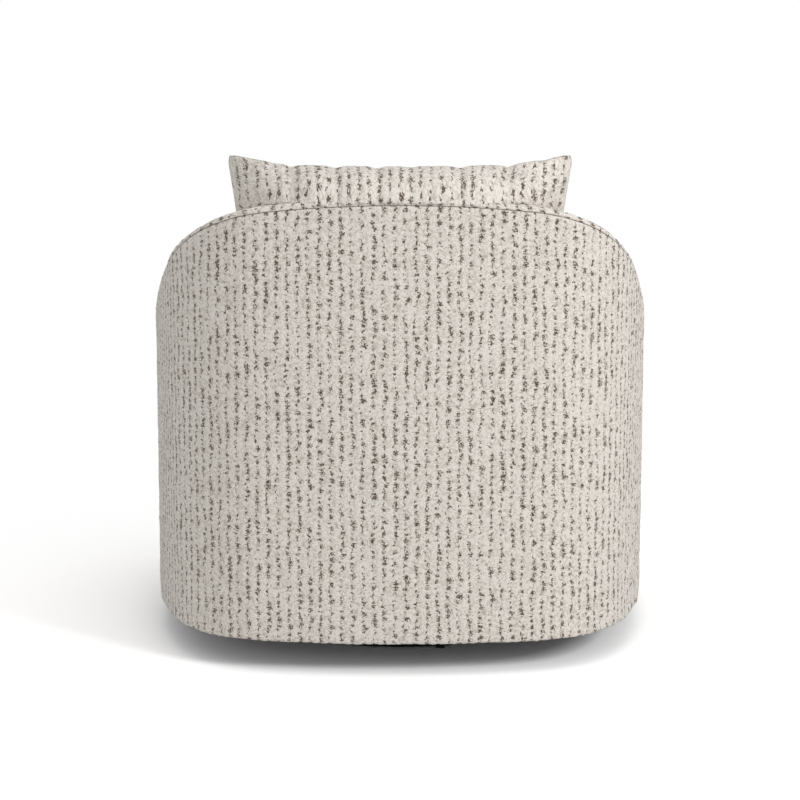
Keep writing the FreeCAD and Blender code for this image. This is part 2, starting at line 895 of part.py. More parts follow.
def make_springs():
    cups("lower_spring_cups", CRADLE_TOP, True)
    cups("upper_spring_cups", "[spring_plate_low]-[cup_tall]", False)
    low = float(sheet_value(CRADLE_TOP)) + size("cup_floor")
    high = size("spring_plate_low") - size("cup_floor")
    places = [(x * size("spring_across"), y * size("spring_along")) for x in (-1, 1) for y in (-1, 1)]
    part("rocker_springs", shaped("springs", Part.makeCompound([coil(p, low, high) for p in places])))


def sheet_value(text):
    """The value of a sum of sheet sizes."""
    total = 0.0
    for term in text.split("+"):
        name, _, share = term.strip("[]").replace("]", "").partition("/")
        total += size(name) / (float(share) if share else 1)
    return total


# Mechanism on the chair's side of the rocking pivot


def make_mechanism():
    low = "[spring_plate_low]"
    rail_in = "[bracket_place]+[bracket_thick]"
    upright = box(
        "rail_upright",
        (rail_in, "-[rail_long]/2", low),
        (f"{rail_in}+[rail_thick]", "[rail_long]/2", f"{low}+[rail_tall]"),
    )
    flat = box(
        "rail_flat",
        (rail_in, "-[rail_long]/2", f"{low}+[rail_tall]-[rail_thick]"),
        (f"{rail_in}+[rail_wide]", "[rail_long]/2", f"{low}+[rail_tall]"),
    )
    rail = joined("MultiFuse", "rail_angle", [upright, flat])
    holes = [
        solid("Cylinder", "rail_hole", (x, y, 0), Radius="[bolt_radius]", Height="4*[rock_height]")
        for x, y in rail_bolt_places()
    ]
    drilled = cut("rail_drilled", rail, joined("Compound", "rail_holes", holes[:2]))
    part("mechanism_rails", mirrored_pair("rail", drilled))

    half = "[ear_wide]/2"
    plate = box(
        "bracket_plate",
        ("[bracket_place]", f"-{half}", "[bracket_low]"),
        (rail_in, half, f"{low}+[rail_tall]"),
    )
    bore = solid(
        "Cylinder",
        "bracket_bore",
        ("[bracket_place]", 0, "[rock_height]"),
        SIDEWAYS,
        Radius="[pin_radius]",
        Height="[bracket_thick]",
    )
    part("rocker_brackets", mirrored_pair("bracket", cut("bracket", plate, bore)))

    wide = box(
        "spring_plate_blank",
        (f"-({rail_in})", "-[cradle_long]/2-[spring_plate_reach]", low),
        (rail_in, "[cradle_long]/2+[spring_plate_reach]", f"{low}+[spring_plate_thick]"),
    )
    notches = [
        box("plate_notch", (a, f"-{half}", low), (b, half, f"{low}+[spring_plate_thick]"))
        for a, b in (("[bracket_place]", rail_in), (f"-({rail_in})", "-[bracket_place]"))
    ]
    part("spring_plate", cut("spring_plate_cut", wide, joined("Compound", "plate_notches", notches)))

    head = solid(
        "Cylinder",
        "pin_head",
        ("[ear_place]-[pin_head_thick]-[layer_gap]", 0, "[rock_height]"),
        SIDEWAYS,
        Radius="[pin_head_radius]",
        Height="[pin_head_thick]",
    )
    stem = solid(
        "Cylinder",
        "pin_stem",
        ("[ear_place]-[layer_gap]", 0, "[rock_height]"),
        SIDEWAYS,
        Radius="[pin_radius]",
        Height=f"{rail_in}-[ear_place]+[nut_thick]+[pin_tip]",
    )
    part("pivot_pins", mirrored_pair("pin", joined("MultiFuse", "pivot_pin", [head, stem])))
    nut = doc.addObject("Part::Prism", "pin_nut")
    nut.Polygon = 6
    nut.Placement = Placement(V(0, 0, 0), Rotation(*SIDEWAYS))
    nut.setExpression("Circumradius", bound("[nut_flats]/sqrt(3)"))
    nut.setExpression("Height", bound("[nut_thick]"))
    nut.setExpression("Placement.Base.x", bound(rail_in))
    nut.setExpression("Placement.Base.z", bound("[rock_height]"))
    hole = solid(
        "Cylinder",
        "pin_nut_hole",
        (rail_in, 0, "[rock_height]"),
        SIDEWAYS,
        Radius="[pin_radius]",
        Height="[nut_thick]",
    )
    part("pivot_nuts", mirrored_pair("nut", cut("pivot_nut", nut, hole)))


def rail_bolt_places():
    x = "[bracket_place]+[bracket_thick]+([rail_wide]+[rail_thick])/2"
    places = [x, f"-({x})"]
    return [(place, y) for place in places for y in ("-[cross_rail_place]", "[cross_rail_place]")]


CROSS_LOW = "[spring_plate_low]+[rail_tall]"


def make_cross_rails():
    inner = size("frame_inset") + size("frame_depth")
    reach = raised(plan_face(inner), 0, size("seat_hoop_top"))
    inside = shaped("frame_interior", reach)
    for name, y in (("front_cross_rail", "-[cross_rail_place]"), ("rear_cross_rail", "[cross_rail_place]")):
        beam = box(
            name + "_beam",
            ("-[half_width]", f"{y}-[cross_rail_depth]/2", CROSS_LOW),
            ("[half_width]", f"{y}+[cross_rail_depth]/2", f"{CROSS_LOW}+[cross_rail_tall]"),
        )
        holes = [
            solid(
                "Cylinder", name + "_hole", (x, y_bolt, 0), Radius="[bolt_radius]", Height="4*[rock_height]"
            )
            for x, y_bolt in rail_bolt_places()
            if y_bolt == y
        ]
        trimmed = doc.addObject("Part::Common", name + "_trimmed")
        trimmed.Base = beam
        trimmed.Tool = inside
        part(name, cut(name + "_cut", trimmed, joined("Compound", name + "_holes", holes)))
    bolts, nuts = [], []
    for x, y in rail_bolt_places():
        head = solid(
            "Cylinder",
            "carriage_head",
            (x, y, f"{CROSS_LOW}+[cross_rail_tall]"),
            Radius="2.2*[bolt_radius]",
            Height="[carriage_head_thick]",
        )
        stem = solid(
            "Cylinder",
            "carriage_stem",
            (x, y, f"{CROSS_LOW}-[rail_thick]-[nut_thick]-[carriage_tip]"),
            Radius="[bolt_radius]",
            Height="[cross_rail_tall]+[rail_thick]+[nut_thick]+[carriage_tip]",
        )
        bolts.append(joined("MultiFuse", "carriage_bolt", [head, stem]))
        nut = hexagon(
            "carriage_nut", f"{CROSS_LOW}-[rail_thick]-[nut_thick]", "1.8*[bolt_radius]", "[nut_thick]"
        )
        nut.setExpression("Placement.Base.x", bound(x))
        nut.setExpression("Placement.Base.y", bound(y))
        bore = solid(
            "Cylinder", "carriage_bore", (x, y, 0), Radius="[bolt_radius]", Height="4*[rock_height]"
        )
        nuts.append(cut("carriage_nut_cut", nut, bore))
    part("rail_bolts", joined("Compound", "carriage_bolts", bolts))
    part("rail_nuts", joined("Compound", "carriage_nuts", nuts))


# Wooden frame


def turn_at(y, inset):
    """The turn, right of the middle, where the inset plan reaches a place along Y."""
    low, high = 0.0, 180.0
    for _ in range(60):
        middle = (low + high) / 2
        if plan_point(middle, inset).y > y:
            low = middle
        else:
            high = middle
    return low


def post(turn, low, high, outer, inner):
    """A straight-sided block of the wall about a turn."""
    step = along(turn) * size("post_width") / 2
    corners = [plan_point(turn, outer) - step, plan_point(turn, outer) + step]
    corners += [plan_point(turn, inner) + step, plan_point(turn, inner) - step]
    block = Part.Face(Part.makePolygon(corners + corners[:1]))
    return raised(block.common(plan_face(outer).cut(plan_face(inner))).Faces[0], low, high)


LOWER_POST_TURNS = (30, 54)
FRONT_POST_TURNS = (125, 160)
UPPER_POST_TURNS = (34, 54, 73, 92, 112)


def make_frame():
    outer = size("frame_inset")
    inner = outer + size("frame_depth")
    hoop_face = plan_face(outer).cut(plan_face(inner)).Faces[0]
    hoop_low = size("hoop_bottom")
    hoop_top = hoop_low + size("hoop_thick")
    part("bottom_hoop", shaped("bottom_hoop_solid", raised(hoop_face, hoop_low, hoop_top)))

    seat_top = size("seat_hoop_top")
    seat_low = seat_top - size("seat_hoop_thick")
    end = size("arm_end_turn")
    hoop = raised(plan_band(-end, end, outer, inner), seat_low, seat_top)
    part("seat_hoop", shaped("seat_hoop_solid", hoop))
    front = raised(plan_band(end, 360 - end, outer, inner), seat_low, seat_top)
    part("front_seat_rail", shaped("front_seat_rail_solid", front))

    middle = (outer + inner) / 2
    rear_turn = turn_at(size("cross_rail_place"), middle)
    front_turn = turn_at(-size("cross_rail_place"), middle)
    half = (*LOWER_POST_TURNS, rear_turn, front_turn, *FRONT_POST_TURNS)
    lower = [0] + [side * t for t in half for side in (-1, 1)]
    posts = [post(t, hoop_top, seat_low, outer, inner) for t in lower]
    part("lower_posts", shaped("lower_post_set", Part.makeCompound(posts)))

    drop = size("roll_padding_drop") + size("loft_gap")
    rail_low = drop + size("top_rail_thick")
    above = above_rim(rail_low)
    half = (*UPPER_POST_TURNS, end - size("end_post_setback"))
    upper = [0] + [side * t for t in half for side in (-1, 1)]
    high = size("back_height")
    posts = [post(t, seat_top, high, outer, inner).cut(above) for t in upper]
    part("upper_posts", shaped("upper_post_set", Part.makeCompound(posts)))

    rail = wall_layer(outer, inner, seat_top, drop)
    around = raised(plan_band(-end, end, outer - OVERCUT, inner + OVERCUT), seat_top - OVERCUT, 2 * high)
    lower_space = around.cut(above)
    part("top_rail", shaped("top_rail_solid", rail.cut(lower_space)))
    make_glue_blocks(inner)


def make_glue_blocks(inner):
    """Triangular blocks between the cross rails and the posts."""
    leg = size("glue_block")
    low = size("spring_plate_low") + size("rail_tall")
    blocks = []
    for side in (-1, 1):
        for end in (-1, 1):
            y = end * (size("cross_rail_place") - size("cross_rail_depth") / 2)
            x = abs(plan_point(turn_at(y, inner), inner).x) * side
            x_far = abs(plan_point(turn_at(y - end * leg, inner), inner).x) * side
            corners = [V(x, y, low), V(x - side * leg, y, low), V(x_far, y - end * leg, low)]
            face = Part.Face(Part.makePolygon(corners + corners[:1]))
            block = face.extrude(V(0, 0, size("cross_rail_tall")))
            blocks.append(block.common(raised(plan_face(inner), 0, size("seat_hoop_top"))))
    part("corner_blocks", shaped("glue_blocks", Part.makeCompound(blocks)))


# Seat suspension


def wave_spring(x, low, high, height):
    """One sinuous spring from the front rail to the rear rail."""
    lean = 1 - math.sqrt(0.5)
    pitch, wide = size("wave_pitch") / 2, size("wave_width")
    radius = pitch / 2
    straight = wide / 2 - radius
    count = int((high - low - size("wave_end")) / pitch)
    start = (low + high - count * pitch) / 2
    edges = [line(V(x, low, height), V(x, start - radius, height))]
    edges.append(
        Part.Arc(
            V(x, start - radius, height),
            V(x + radius * lean, start - radius * lean, height),
            V(x + radius, start, height),
        ).toShape()
    )
    side = 1
    place = x + radius
    for k in range(count):
        y = start + k * pitch
        edge_x = x + side * straight
        edges.append(line(V(place, y, height), V(edge_x, y, height)))
        edges.append(
            Part.Arc(
                V(edge_x, y, height),
                V(edge_x + side * radius, y + radius, height),
                V(edge_x, y + pitch, height),
            ).toShape()
        )
        place = edge_x
        side = -side
    y = start + count * pitch
    edges.append(line(V(place, y, height), V(x + side * radius, y, height)))
    edges.append(
        Part.Arc(
            V(x + side * radius, y, height),
            V(x + side * radius * lean, y + radius * lean, height),
            V(x, y + radius, height),
        ).toShape()
    )
    edges.append(line(V(x, y + radius, height), V(x, high, height)))
    path = Part.Wire(Part.__sortEdges__(edges))
    ring = Part.Wire([Part.makeCircle(size("wire_thick") / 2, V(x, low, height), V(0, 1, 0))])
    return path.makePipeShell([ring], True, False)


WAVE_COUNT = 6


def make_suspension():
    height = size("seat_hoop_top") + size("wire_thick") / 2
    middle = size("frame_inset") + size("frame_depth") / 2
    wire, clip_wide, clip_long = size("wire_thick"), size("clip_wide"), size("clip_long")
    clip_low, clip_tall = size("seat_hoop_top"), wire + size("clip_cap")
    springs, clips = [], []
    for k in range(WAVE_COUNT):
        x = (k - (WAVE_COUNT - 1) / 2) * size("wave_spacing")
        rear = edge_y(x, middle, 1)
        front = edge_y(x, middle, -1)
        springs.append(wave_spring(x, front, rear, height))
        for y in (front + size("clip_setback"), rear - size("clip_setback")):
            low_y = y - clip_long / 2
            block = Part.makeBox(clip_wide, clip_long, clip_tall, V(x - clip_wide / 2, low_y, clip_low))
            slot = Part.makeBox(wire, clip_long, wire, V(x - wire / 2, low_y, clip_low))
            clips.append(block.cut(slot))
    part("seat_springs", shaped("seat_spring_set", Part.makeCompound(springs)))
    part("spring_clips", shaped("spring_clip_set", Part.makeCompound(clips)))


def edge_y(x, inset, side):
    """Where the inset plan crosses a line along Y, at the rear or the front."""
    low, high = (0.0, 90.0) if side > 0 else (180.0, 90.0)
    for _ in range(60):
        middle = (low + high) / 2
        if plan_point(middle, inset).x < abs(x):
            low = middle
        else:
            high = middle
    return plan_point(low, inset).y


# Upholstery of the shell


def make_upholstery():
    gap, cover, wall = size("layer_gap"), size("cover"), size("wall")
    bottom, deck = size("shell_bottom"), size("deck_height")
    end = size("arm_end_turn")
    part("outside_cover", shaped("outside_cover_skin", wall_layer(0, cover, bottom, size("seam_gap"))))
    below = size("roll_padding_drop") + size("loft_gap")
    wadding_out = cover + gap
    wadding_in = wadding_out + size("wadding")
    pad_low = bottom + size("edge_turn_in")
    part("outer_wadding", shaped("outer_wadding_layer", wall_layer(wadding_out, wadding_in, pad_low, below)))
    board_in = size("frame_inset") - gap
    board_out, board_low = board_in - size("board"), bottom + size("board_turn_in")
    part("tack_board", shaped("tack_board_sheet", wall_layer(board_out, board_in, board_low, below)))

    front = raised(plan_band(end, 360 - end, 0, wall), bottom, deck)
    past = end - OVERCUT
    hollow = raised(plan_band(past, 360 - past, cover, wall + OVERCUT), bottom - OVERCUT, deck - cover)
    part("front_apron_cover", shaped("front_apron_skin", front.cut(hollow)))
    deep = size("frame_inset") + size("frame_depth")
    pad = raised(plan_band(end, 360 - end, wadding_out, deep), pad_low, deck - cover - gap)
    clip_top = size("seat_hoop_top") + size("wire_thick") + size("clip_cap") + gap
    wood = raised(plan_band(past, 360 - past, size("frame_inset") - gap, deep + OVERCUT), bottom, clip_top)
    part("front_padding", shaped("front_padding_layer", pad.cut(wood)))

    foam_out, foam_in = deep + gap, wall - cover - size("loft_gap")
    drop = size("roll_padding_drop")
    under_roll = drop + size("loft_gap")
    part(
        "inside_padding", shaped("inside_padding_layer", wall_layer(foam_out, foam_in, clip_top, under_roll))
    )

    skin = cover + size("loft_gap")

    def padding_low(turn):
        return rim_height(turn) - drop

    wires = [top_section(t, skin, padding_low, padding_low) for t in rim_turns()]
    part("roll_padding", shaped("roll_padding_loft", lofted(wires)))
    noses = [nose(side * end, skin, deck + gap).common(clear_of_wall(side)) for side in (-1, 1)]
    part("arm_front_padding", shaped("arm_front_pads", Part.makeCompound(noses)))

    wires = [top_section(t, 0, rim_height, lambda a: deck, cover) for t in rim_turns()]
    part("inside_cover", shaped("inside_cover_skin", lofted(wires)))
    fronts = [nose(side * end, 0, deck, cover) for side in (-1, 1)]
    part("arm_front_covers", shaped("arm_front_skins", Part.makeCompound(fronts)))

    lining = raised(plan_face(wall + gap), deck - cover, deck)
    part("deck_cover", shaped("deck_lining", lining))
    pad = raised(plan_face(wall - cover), clip_top, deck - cover - gap)
    part("deck_pad", shaped("deck_felt", pad))

    under = size("hoop_bottom") - gap
    cloth = raised(plan_face(size("frame_inset")), under - size("dust_cover_thick"), under)
    wide, long = size("dust_hole_wide"), size("dust_hole_long")
    opening = Part.makeBox(wide, long, under, V(-wide / 2, -long / 2, 0))
    part("dust_cover", shaped("dust_cloth", cloth.cut(opening)))


def clear_of_wall(side):
    """The half space in front of the wall's end, with a small gap."""
    turn = side * size("arm_end_turn")
    middle = plan_point(turn, size("wall") / 2) + along(turn) * side * size("layer_gap")
    reach = 2 * size("wall")
    outwards = normal(turn) * reach
    corners = [middle - outwards, middle + outwards]
    forwards = along(turn) * side * reach
    corners += [middle + outwards + forwards, middle - outwards + forwards]
    return raised(Part.Face(Part.makePolygon(corners + corners[:1])), 0, 2 * size("back_height"))


# Loose seat cushion


def cushion_wire(inset, height, share=1.0):
    """The cushion's plan, as tangent arcs and two straight sides, moved inwards or drawn in by a share."""
    margin = size("wall") + size("cushion_gap") + inset
    rear = size("rear_radius") - margin
    corner_arc = ARCS[1]
    corner = corner_arc[3] - margin
    side = size("cushion_side_radius") - inset
    turn = size("cushion_side_turn")
    rear_centre = ARCS[0][2]
    side_centre = corner_arc[2] + normal(corner_arc[1]) * (corner - side)
    front_radius = size("front_radius")
    front_centre = V(0, front_radius - size("half_depth") + size("cushion_front_set"), 0)
    front = front_radius - inset
    tip = size("cushion_corner_radius") - inset
    reach = normal(turn).dot(side_centre) + side
    lean = (reach - tip - normal(turn).dot(front_centre)) / (front - tip)
    last = turn + math.degrees(math.acos(lean))
    tip_centre = front_centre + normal(last) * (front - tip)
    arcs = [
        (0, size("rear_turn"), rear_centre, rear),
        (size("rear_turn"), corner_arc[1], corner_arc[2], corner),
        (corner_arc[1], turn, side_centre, side),
        (turn, last, tip_centre, tip),
        (last, 180, front_centre, front),
    ]
    edges = []

    def spot(centre, radius, at, mirror):
        p = centre + normal(at) * radius
        return V(mirror * p.x * share, p.y * share, height)

    for k, (a, b, centre, radius) in enumerate(arcs):
        for mirror in (1, -1):
            if k in (0, 4) and mirror < 0:
                continue
            if k == 0:
                points = [spot(centre, radius, t, m) for t, m in ((b, -1), (0, 1), (b, 1))]
            elif k == 4:
                points = [spot(centre, radius, t, m) for t, m in ((a, 1), (180, 1), (a, -1))]
            else:
                points = [spot(centre, radius, t, mirror) for t in (a, (a + b) / 2, b)]
            edges.append(Part.Arc(*points).toShape())
    for mirror in (1, -1):
        edges.append(line(spot(side_centre, side, turn, mirror), spot(tip_centre, tip, turn, mirror)))
    return Part.Wire(Part.__sortEdges__(edges))


def cushion_solid(skin):
    low = size("deck_height") + size("layer_gap") + skin
    tall = size("cushion_side_tall") - 2 * skin
    pull, crown = size("cushion_pull"), size("cushion_crown")
    steps = [
        (12, 0, 1.0),
        (4, 3, 1.0),
        (0, 12, 1.0),
        (pull, tall * 0.35, 1.0),
        (pull, tall * 0.65, 1.0),
        (0, tall - 12, 1.0),
        (4, tall - 3, 1.0),
        (12, tall, 1.0),
        (12, tall + crown * 0.5, 0.84),
        (12, tall + crown * 0.85, 0.6),
        (12, tall + crown, 0.3),
    ]
    wires = [cushion_wire(inset + skin, low + up, share) for inset, up, share in steps]
    return Part.makeLoft(wires, True, True)


def make_seat_cushion():
    outer = cushion_solid(0)
    inner = cushion_solid(size("cushion_skin"))
    zip_strip = zip_band()
    cover = outer.cut(inner).cut(zip_strip)
    part("seat_cushion_cover", shaped("seat_cushion_skin", cover))
    part(
        "seat_cushion_core",
        shaped("seat_cushion_foam", cushion_solid(size("cushion_skin") + size("layer_gap"))),
    )
    part("seat_cushion_zip", shaped("seat_zip", outer.cut(inner).common(zip_strip)))


def zip_band():
    """The strip of the rear side that the zip takes."""
    height = size("deck_height") + size("cushion_side_tall") / 2
    return Part.makeBox(
        size("zip_long"),
        size("half_depth"),
        size("zip_wide"),
        V(-size("zip_long") / 2, 0, height - size("zip_wide") / 2),
    )


# Loose back pillow, leaning on the inside of the back and slumped a little over its roll


def bowed(start, end, bow):
    """An arc across X whose middle stands off its chord, to the right of the way from start to end."""
    chord = end - start
    aside = V(0, chord.z, -chord.y).normalize() * bow
    return Part.Arc(start, (start + end) * 0.5 + aside, end).toShape()


def pillow_section(x, skin):
    """The pillow's outline across X, inside a skin: a front arc and a rear that passes over the roll."""
    wall_face = plan_at_x(x) - size("pillow_wall_gap")
    shift = plan_at_x(x) - plan_at_x(0)
    share = abs(x) / size("pillow_half_wide")
    thin = math.sqrt(max(0.0, 1 - share**3.2))
    slump = max(0.0, 1 - (x / size("pillow_slump_half")) ** 2)
    crown = size("cushion_crown") * size("pillow_rest_share")
    seat_top = size("deck_height") + size("layer_gap") * 2 + size("cushion_side_tall") + crown
    low = V(x, size("pillow_low_place") + shift * 0.35, seat_top)
    top_place = size("pillow_top_place") - size("pillow_slump") * (1 - slump) + shift * 0.8
    top = V(x, top_place, size("pillow_top") + size("pillow_ear_rise") * share**2.2)
    radius = size("roll_inner_radius")
    crest_height = size("back_height") + size("roll_outer_radius")
    edge = wall_face - size("pillow_slump") * 0.2 * (1 - slump)
    knee = V(x, min(edge, low.y + (edge - low.y) * (0.2 + 0.8 * thin)), crest_height - radius)
    hug = radius + size("pillow_wall_gap") + skin
    over_roll = V(x, plan_at_x(0) + radius, crest_height + size("pillow_wall_gap"))
    off_roll = knee + (top - knee) * 0.5 + V(0, 10 * thin, 0)
    over = over_roll * slump + off_roll * (1 - slump)
    lean = 1 - math.sqrt(0.5)
    low, top = low + V(0, 0, 4 * skin), top - V(0, 0, 4 * skin)
    knee, over = knee - V(0, skin, 0), over + V(0, skin * (slump - 1), skin * slump)
    bulge = size("pillow_front_bulge") * max(thin, 0.06) - skin
    overhang = size("pillow_overhang") * slump + (1 + 6 * thin) * (1 - slump) - skin
    return Part.Wire(
        [
            bowed(low, top, -bulge),
            bowed(top, over, -max(overhang, 0.5)),
            bowed(over, knee, (hug * lean + 1) * slump + 0.5 * (1 - slump)),
            bowed(knee, low, -max(16 * thin + 1 - skin, 0.5)),
        ]
    )


def plan_at_x(x):
    return edge_y(x, size("wall"), 1)


def pillow_solid(skin=0):
    half = size("pillow_half_wide")
    last = 1 - 0.055 * skin
    stations = [last * k for k in (0, 0.24, 0.46, 0.62, 0.76, 0.88, 0.96, 1.0)]
    places = [-half * k for k in reversed(stations[1:])] + [half * k for k in stations]
    body = Part.makeLoft([pillow_section(x, skin) for x in places], True, False, False, 5)
    middle = (size("pillow_top") + size("deck_height") + size("cushion_side_tall")) / 2
    radius = size("pillow_waist_radius")
    for side in (-1, 1):
        centre = V(side * (size("pillow_waist_half") - 3 * skin + radius), 0, middle)
        body = body.cut(Part.makeCylinder(radius, size("half_depth") * 2, centre, V(0, 1, 0)))
    return body.Solids[0]


def make_back_pillow():
    skin = size("pillow_skin")
    outer = pillow_solid()
    hollow = pillow_solid(skin).common(outer)
    filling = pillow_solid(skin + 2 * size("layer_gap")).common(hollow)
    part("back_pillow_cover", shaped("back_pillow_skin", outer.cut(hollow)))
    part("back_pillow_insert", shaped("back_pillow_filling", filling))


def main():
    make_base()
    make_bearing()
    make_cradle()
    make_springs()
    make_mechanism()
    make_cross_rails()
    make_frame()
    make_suspension()
    make_upholstery()
    make_seat_cushion()
    make_back_pillow()
    doc.recompute()
    for made in doc.Objects:
        if {"Invalid", "Error"} & set(made.State):
            raise RuntimeError(f"{made.Name} failed: {made.State}")
    for made in PARTS:
        if made.Shape.isNull() or not made.Shape.isValid():
            raise RuntimeError(f"{made.Label} has a bad shape")
    os.makedirs("parts", exist_ok=True)
    for made in PARTS:
        made.Shape.exportStep(f"parts/{made.Label}.step")
        print(f"{made.Label}: {len(made.Shape.Solids)} solids")


main()
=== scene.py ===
import json
import math

import bpy
import numpy as np
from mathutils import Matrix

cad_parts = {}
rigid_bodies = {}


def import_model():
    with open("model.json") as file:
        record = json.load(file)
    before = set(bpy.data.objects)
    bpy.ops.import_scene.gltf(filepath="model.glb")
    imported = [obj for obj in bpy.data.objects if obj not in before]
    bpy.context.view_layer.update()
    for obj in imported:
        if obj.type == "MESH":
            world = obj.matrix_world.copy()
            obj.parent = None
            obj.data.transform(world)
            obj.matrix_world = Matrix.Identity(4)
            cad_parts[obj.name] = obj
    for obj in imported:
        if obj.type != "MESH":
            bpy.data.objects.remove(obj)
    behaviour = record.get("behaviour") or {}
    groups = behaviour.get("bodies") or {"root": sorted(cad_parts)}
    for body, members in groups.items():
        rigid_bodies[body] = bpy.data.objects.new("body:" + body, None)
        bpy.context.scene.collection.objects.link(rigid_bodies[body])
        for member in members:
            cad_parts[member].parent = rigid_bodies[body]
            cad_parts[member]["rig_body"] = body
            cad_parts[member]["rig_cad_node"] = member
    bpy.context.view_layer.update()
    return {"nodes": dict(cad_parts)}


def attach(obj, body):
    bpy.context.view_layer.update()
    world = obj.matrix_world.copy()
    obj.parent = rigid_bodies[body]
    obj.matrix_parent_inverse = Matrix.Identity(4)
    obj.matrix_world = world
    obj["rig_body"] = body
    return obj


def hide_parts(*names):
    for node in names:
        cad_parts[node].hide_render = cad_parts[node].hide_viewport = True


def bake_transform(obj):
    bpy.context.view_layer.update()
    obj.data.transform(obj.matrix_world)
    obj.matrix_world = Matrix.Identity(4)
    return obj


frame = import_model()
nodes = frame["nodes"]
bpy.ops.object.select_all(action="DESELECT")

# Looks of an upholstered swivel rocker with a barrel back, a loose seat cushion and a loose pillow.
# Lengths are in metres and turns in degrees from the rear centre, as in the part's source.

# Plan of the shell, one half: start turn, centre x, centre y, radius
PLAN = np.array(
    [
        (0, 0.00000, -0.74000, 1.15000),
        (10.5, 0.17124, 0.18394, 0.21032),
        (70, -0.33413, 0.00000, 0.74813),
        (90, -1.95558, 0.00000, 2.36958),
        (96, 0.24855, -0.23166, 0.15331),
        (168.5, 0.00000, 0.99000, 1.40000),
    ]
)
ARM_END = 135
HALF_DEPTH = 0.410
SHELL_BOTTOM = 0.050
DECK_HEIGHT = 0.284
BACK_HEIGHT = 0.745
ARM_HEIGHT = 0.542
RIM_SLOPE = math.radians(33)
RIM_BLEND = 0.250
WALL = 0.095
ROLL_OUTER = 0.009
ROLL_INNER = 0.040
ROLL_ARM = 0.020
ROLL_EASE_START = 80

# Seat cushion: grain of its mesh, how far its stuffing may move the cover, and heights of its two seams
SEAT_TOP = 0.44
SEAT_GRAIN = 0.0062
SEAT_FREEDOM = 0.0022
SEAT_FRONT_FREEDOM = 0.004
SEAT_FRONT_Y = -0.30
SEAT_MIDDLE_Y = -0.05
SEAT_SEAM_LOW = 0.005
SEAT_CROWN = 0.016
SEAT_SEAM_HIGH = 0.006

# Pillow, as the solids hold it, draped over the back
PILLOW_HALF = 0.284
PILLOW_WAIST = 0.261
PILLOW_WAIST_RADIUS = 1.100
PILLOW_TOP = 0.801
PILLOW_EAR = 0.016
PILLOW_EAR_START = 0.62
PILLOW_BULGE = 0.074
PILLOW_DRAPE_HALF = 0.260
PILLOW_CORNER = 0.022
PILLOW_LIP = -0.0040
PILLOW_COLUMNS = 132
PILLOW_ROWS = 52
# Rows at which its rear leaves the wall, passes the crown of the roll and hangs lowest
PILLOW_LEAVES, PILLOW_CROWNS, PILLOW_HANGS = 31, 39, 44
PILLOW_CLEAR = 0.0015
PILLOW_HANG_RISE = 0.0020
PILLOW_HANG_DROP = 0.0115
PILLOW_FREEDOM = 0.012
PILLOW_GIRTH = 1.15
PILLOW_LOW_Y = 0.185
PILLOW_TOP_Y = 0.335
PILLOW_SLUMP = 0.030
PILLOW_SLUMP_HALF = 0.175
# Height at which the pillow is slimmest
PILLOW_WAIST_HEIGHT = (PILLOW_TOP + SEAT_TOP - 0.0134) / 2
# Pinches along the pillow's top seam: width, depth, then place across and strength of each
PINCH_WIDE = 0.010
PINCH_DEEP = 0.0035
PILLOW_PINCHES = [
    (0.203, 0.5),
    (0.177, 1.0),
    (0.104, 1.0),
    (0.037, 1.0),
    (-0.016, 0.6),
    (-0.096, 1.0),
    (-0.175, 1.0),
    (-0.233, 0.5),
]

# The cloth: yarn columns this far apart, drawn with four points each
COLUMN = 0.0168
STEP = COLUMN / 4
RIDGE = 0.0007
LOOP_LIFT = 0.0005
YARN_PALE = "#ebe5dd"
# painted shade: the colour of the yarn in the crevices between its loops and in the gaps between columns
YARN_SHADE = "#b4aa9d"
SLUB_PALE = "#766757"
SLUB_DARK = "#382b20"
COVER_THICK = 0.008
APRON_EDGE = 0.008
SEAM_DEEP = 0.0026
SEAM_WIDE = 0.0013
SEAM_STEPS = np.array([0.0006, 0.0013, 0.0023])
SEAM_FADE = 0.004
# painted shade: the colour that cloth held in a seam is drawn towards
SEAM_PAINTED_SHADE = "#6a5d50"
INSIDE_THICK = 0.010
# Unevenness: length of the loops, height and length of slow waves, reach and length of the columns' sway
LOOP_LENGTH = 0.011
WAVE_LIFT = 0.0006
WAVE_LENGTH = 0.06
SWAY = 0.0016
SWAY_LENGTH = 0.09
# Wander of the yarn in the finish: length over which it wanders and how far, slow and fine
WANDERS = ((0.016, 0.010), (0.0046, 0.0062))
# Dark flecks: cell across and along the cloth, half sizes, widest jitter, least and most of the size
LARGE_FLECKS = (COLUMN, 0.0098, (0.0027, 0.0036, 1), (0.0052, 0.0045, 0), 0.35, 1.4)
SMALL_FLECKS = (COLUMN / 3, 0.0071, (0.0014, 0.0012, 1), (0.004, 0.005, 0), 0.0, 1.1)
RAG_SIZE = 0.0025
LUMP_SIZE = 0.0036
STRAND_SIZE = 0.0016

# Seat deck and the dust sheet under the frame
DECK_THICK = 0.012
DECK_SAG = 0.0025
DUST_INSET = 0.0125
DUST_HEIGHT = 0.0551
DUST_HOLE_WIDE = 0.160
DUST_HOLE_LONG = 0.150
DUST_HOLE_CORNER = 0.012
DUST_SAG = 0.0012
DUST_THICK = 0.0006
DUST_COLUMNS = 320

# Zip: its length, teeth and place, and the sizes of a tooth, the tape and the slider
ZIP_LONG = 0.41
ZIP_TEETH = 96
ZIP_RISE = 0.071
ZIP_INSET = 0.002
ZIP_BEHIND = 0.0045
ZIP_TOOTH = (0.0022, 0.0012, 0.0046)
ZIP_TAPE_WIDE = 0.024
ZIP_TAPE_THICK = 0.0008
ZIP_SLIDER = (0.012, 0.0030, 0.008)

# Camera, the light of the world, the floor and the lamps
LENS = 108
CAMERA_PLACE = (0, 4.078, 1.09)
CAMERA_ABOVE = 10
WORLD_LIGHT = 0.54
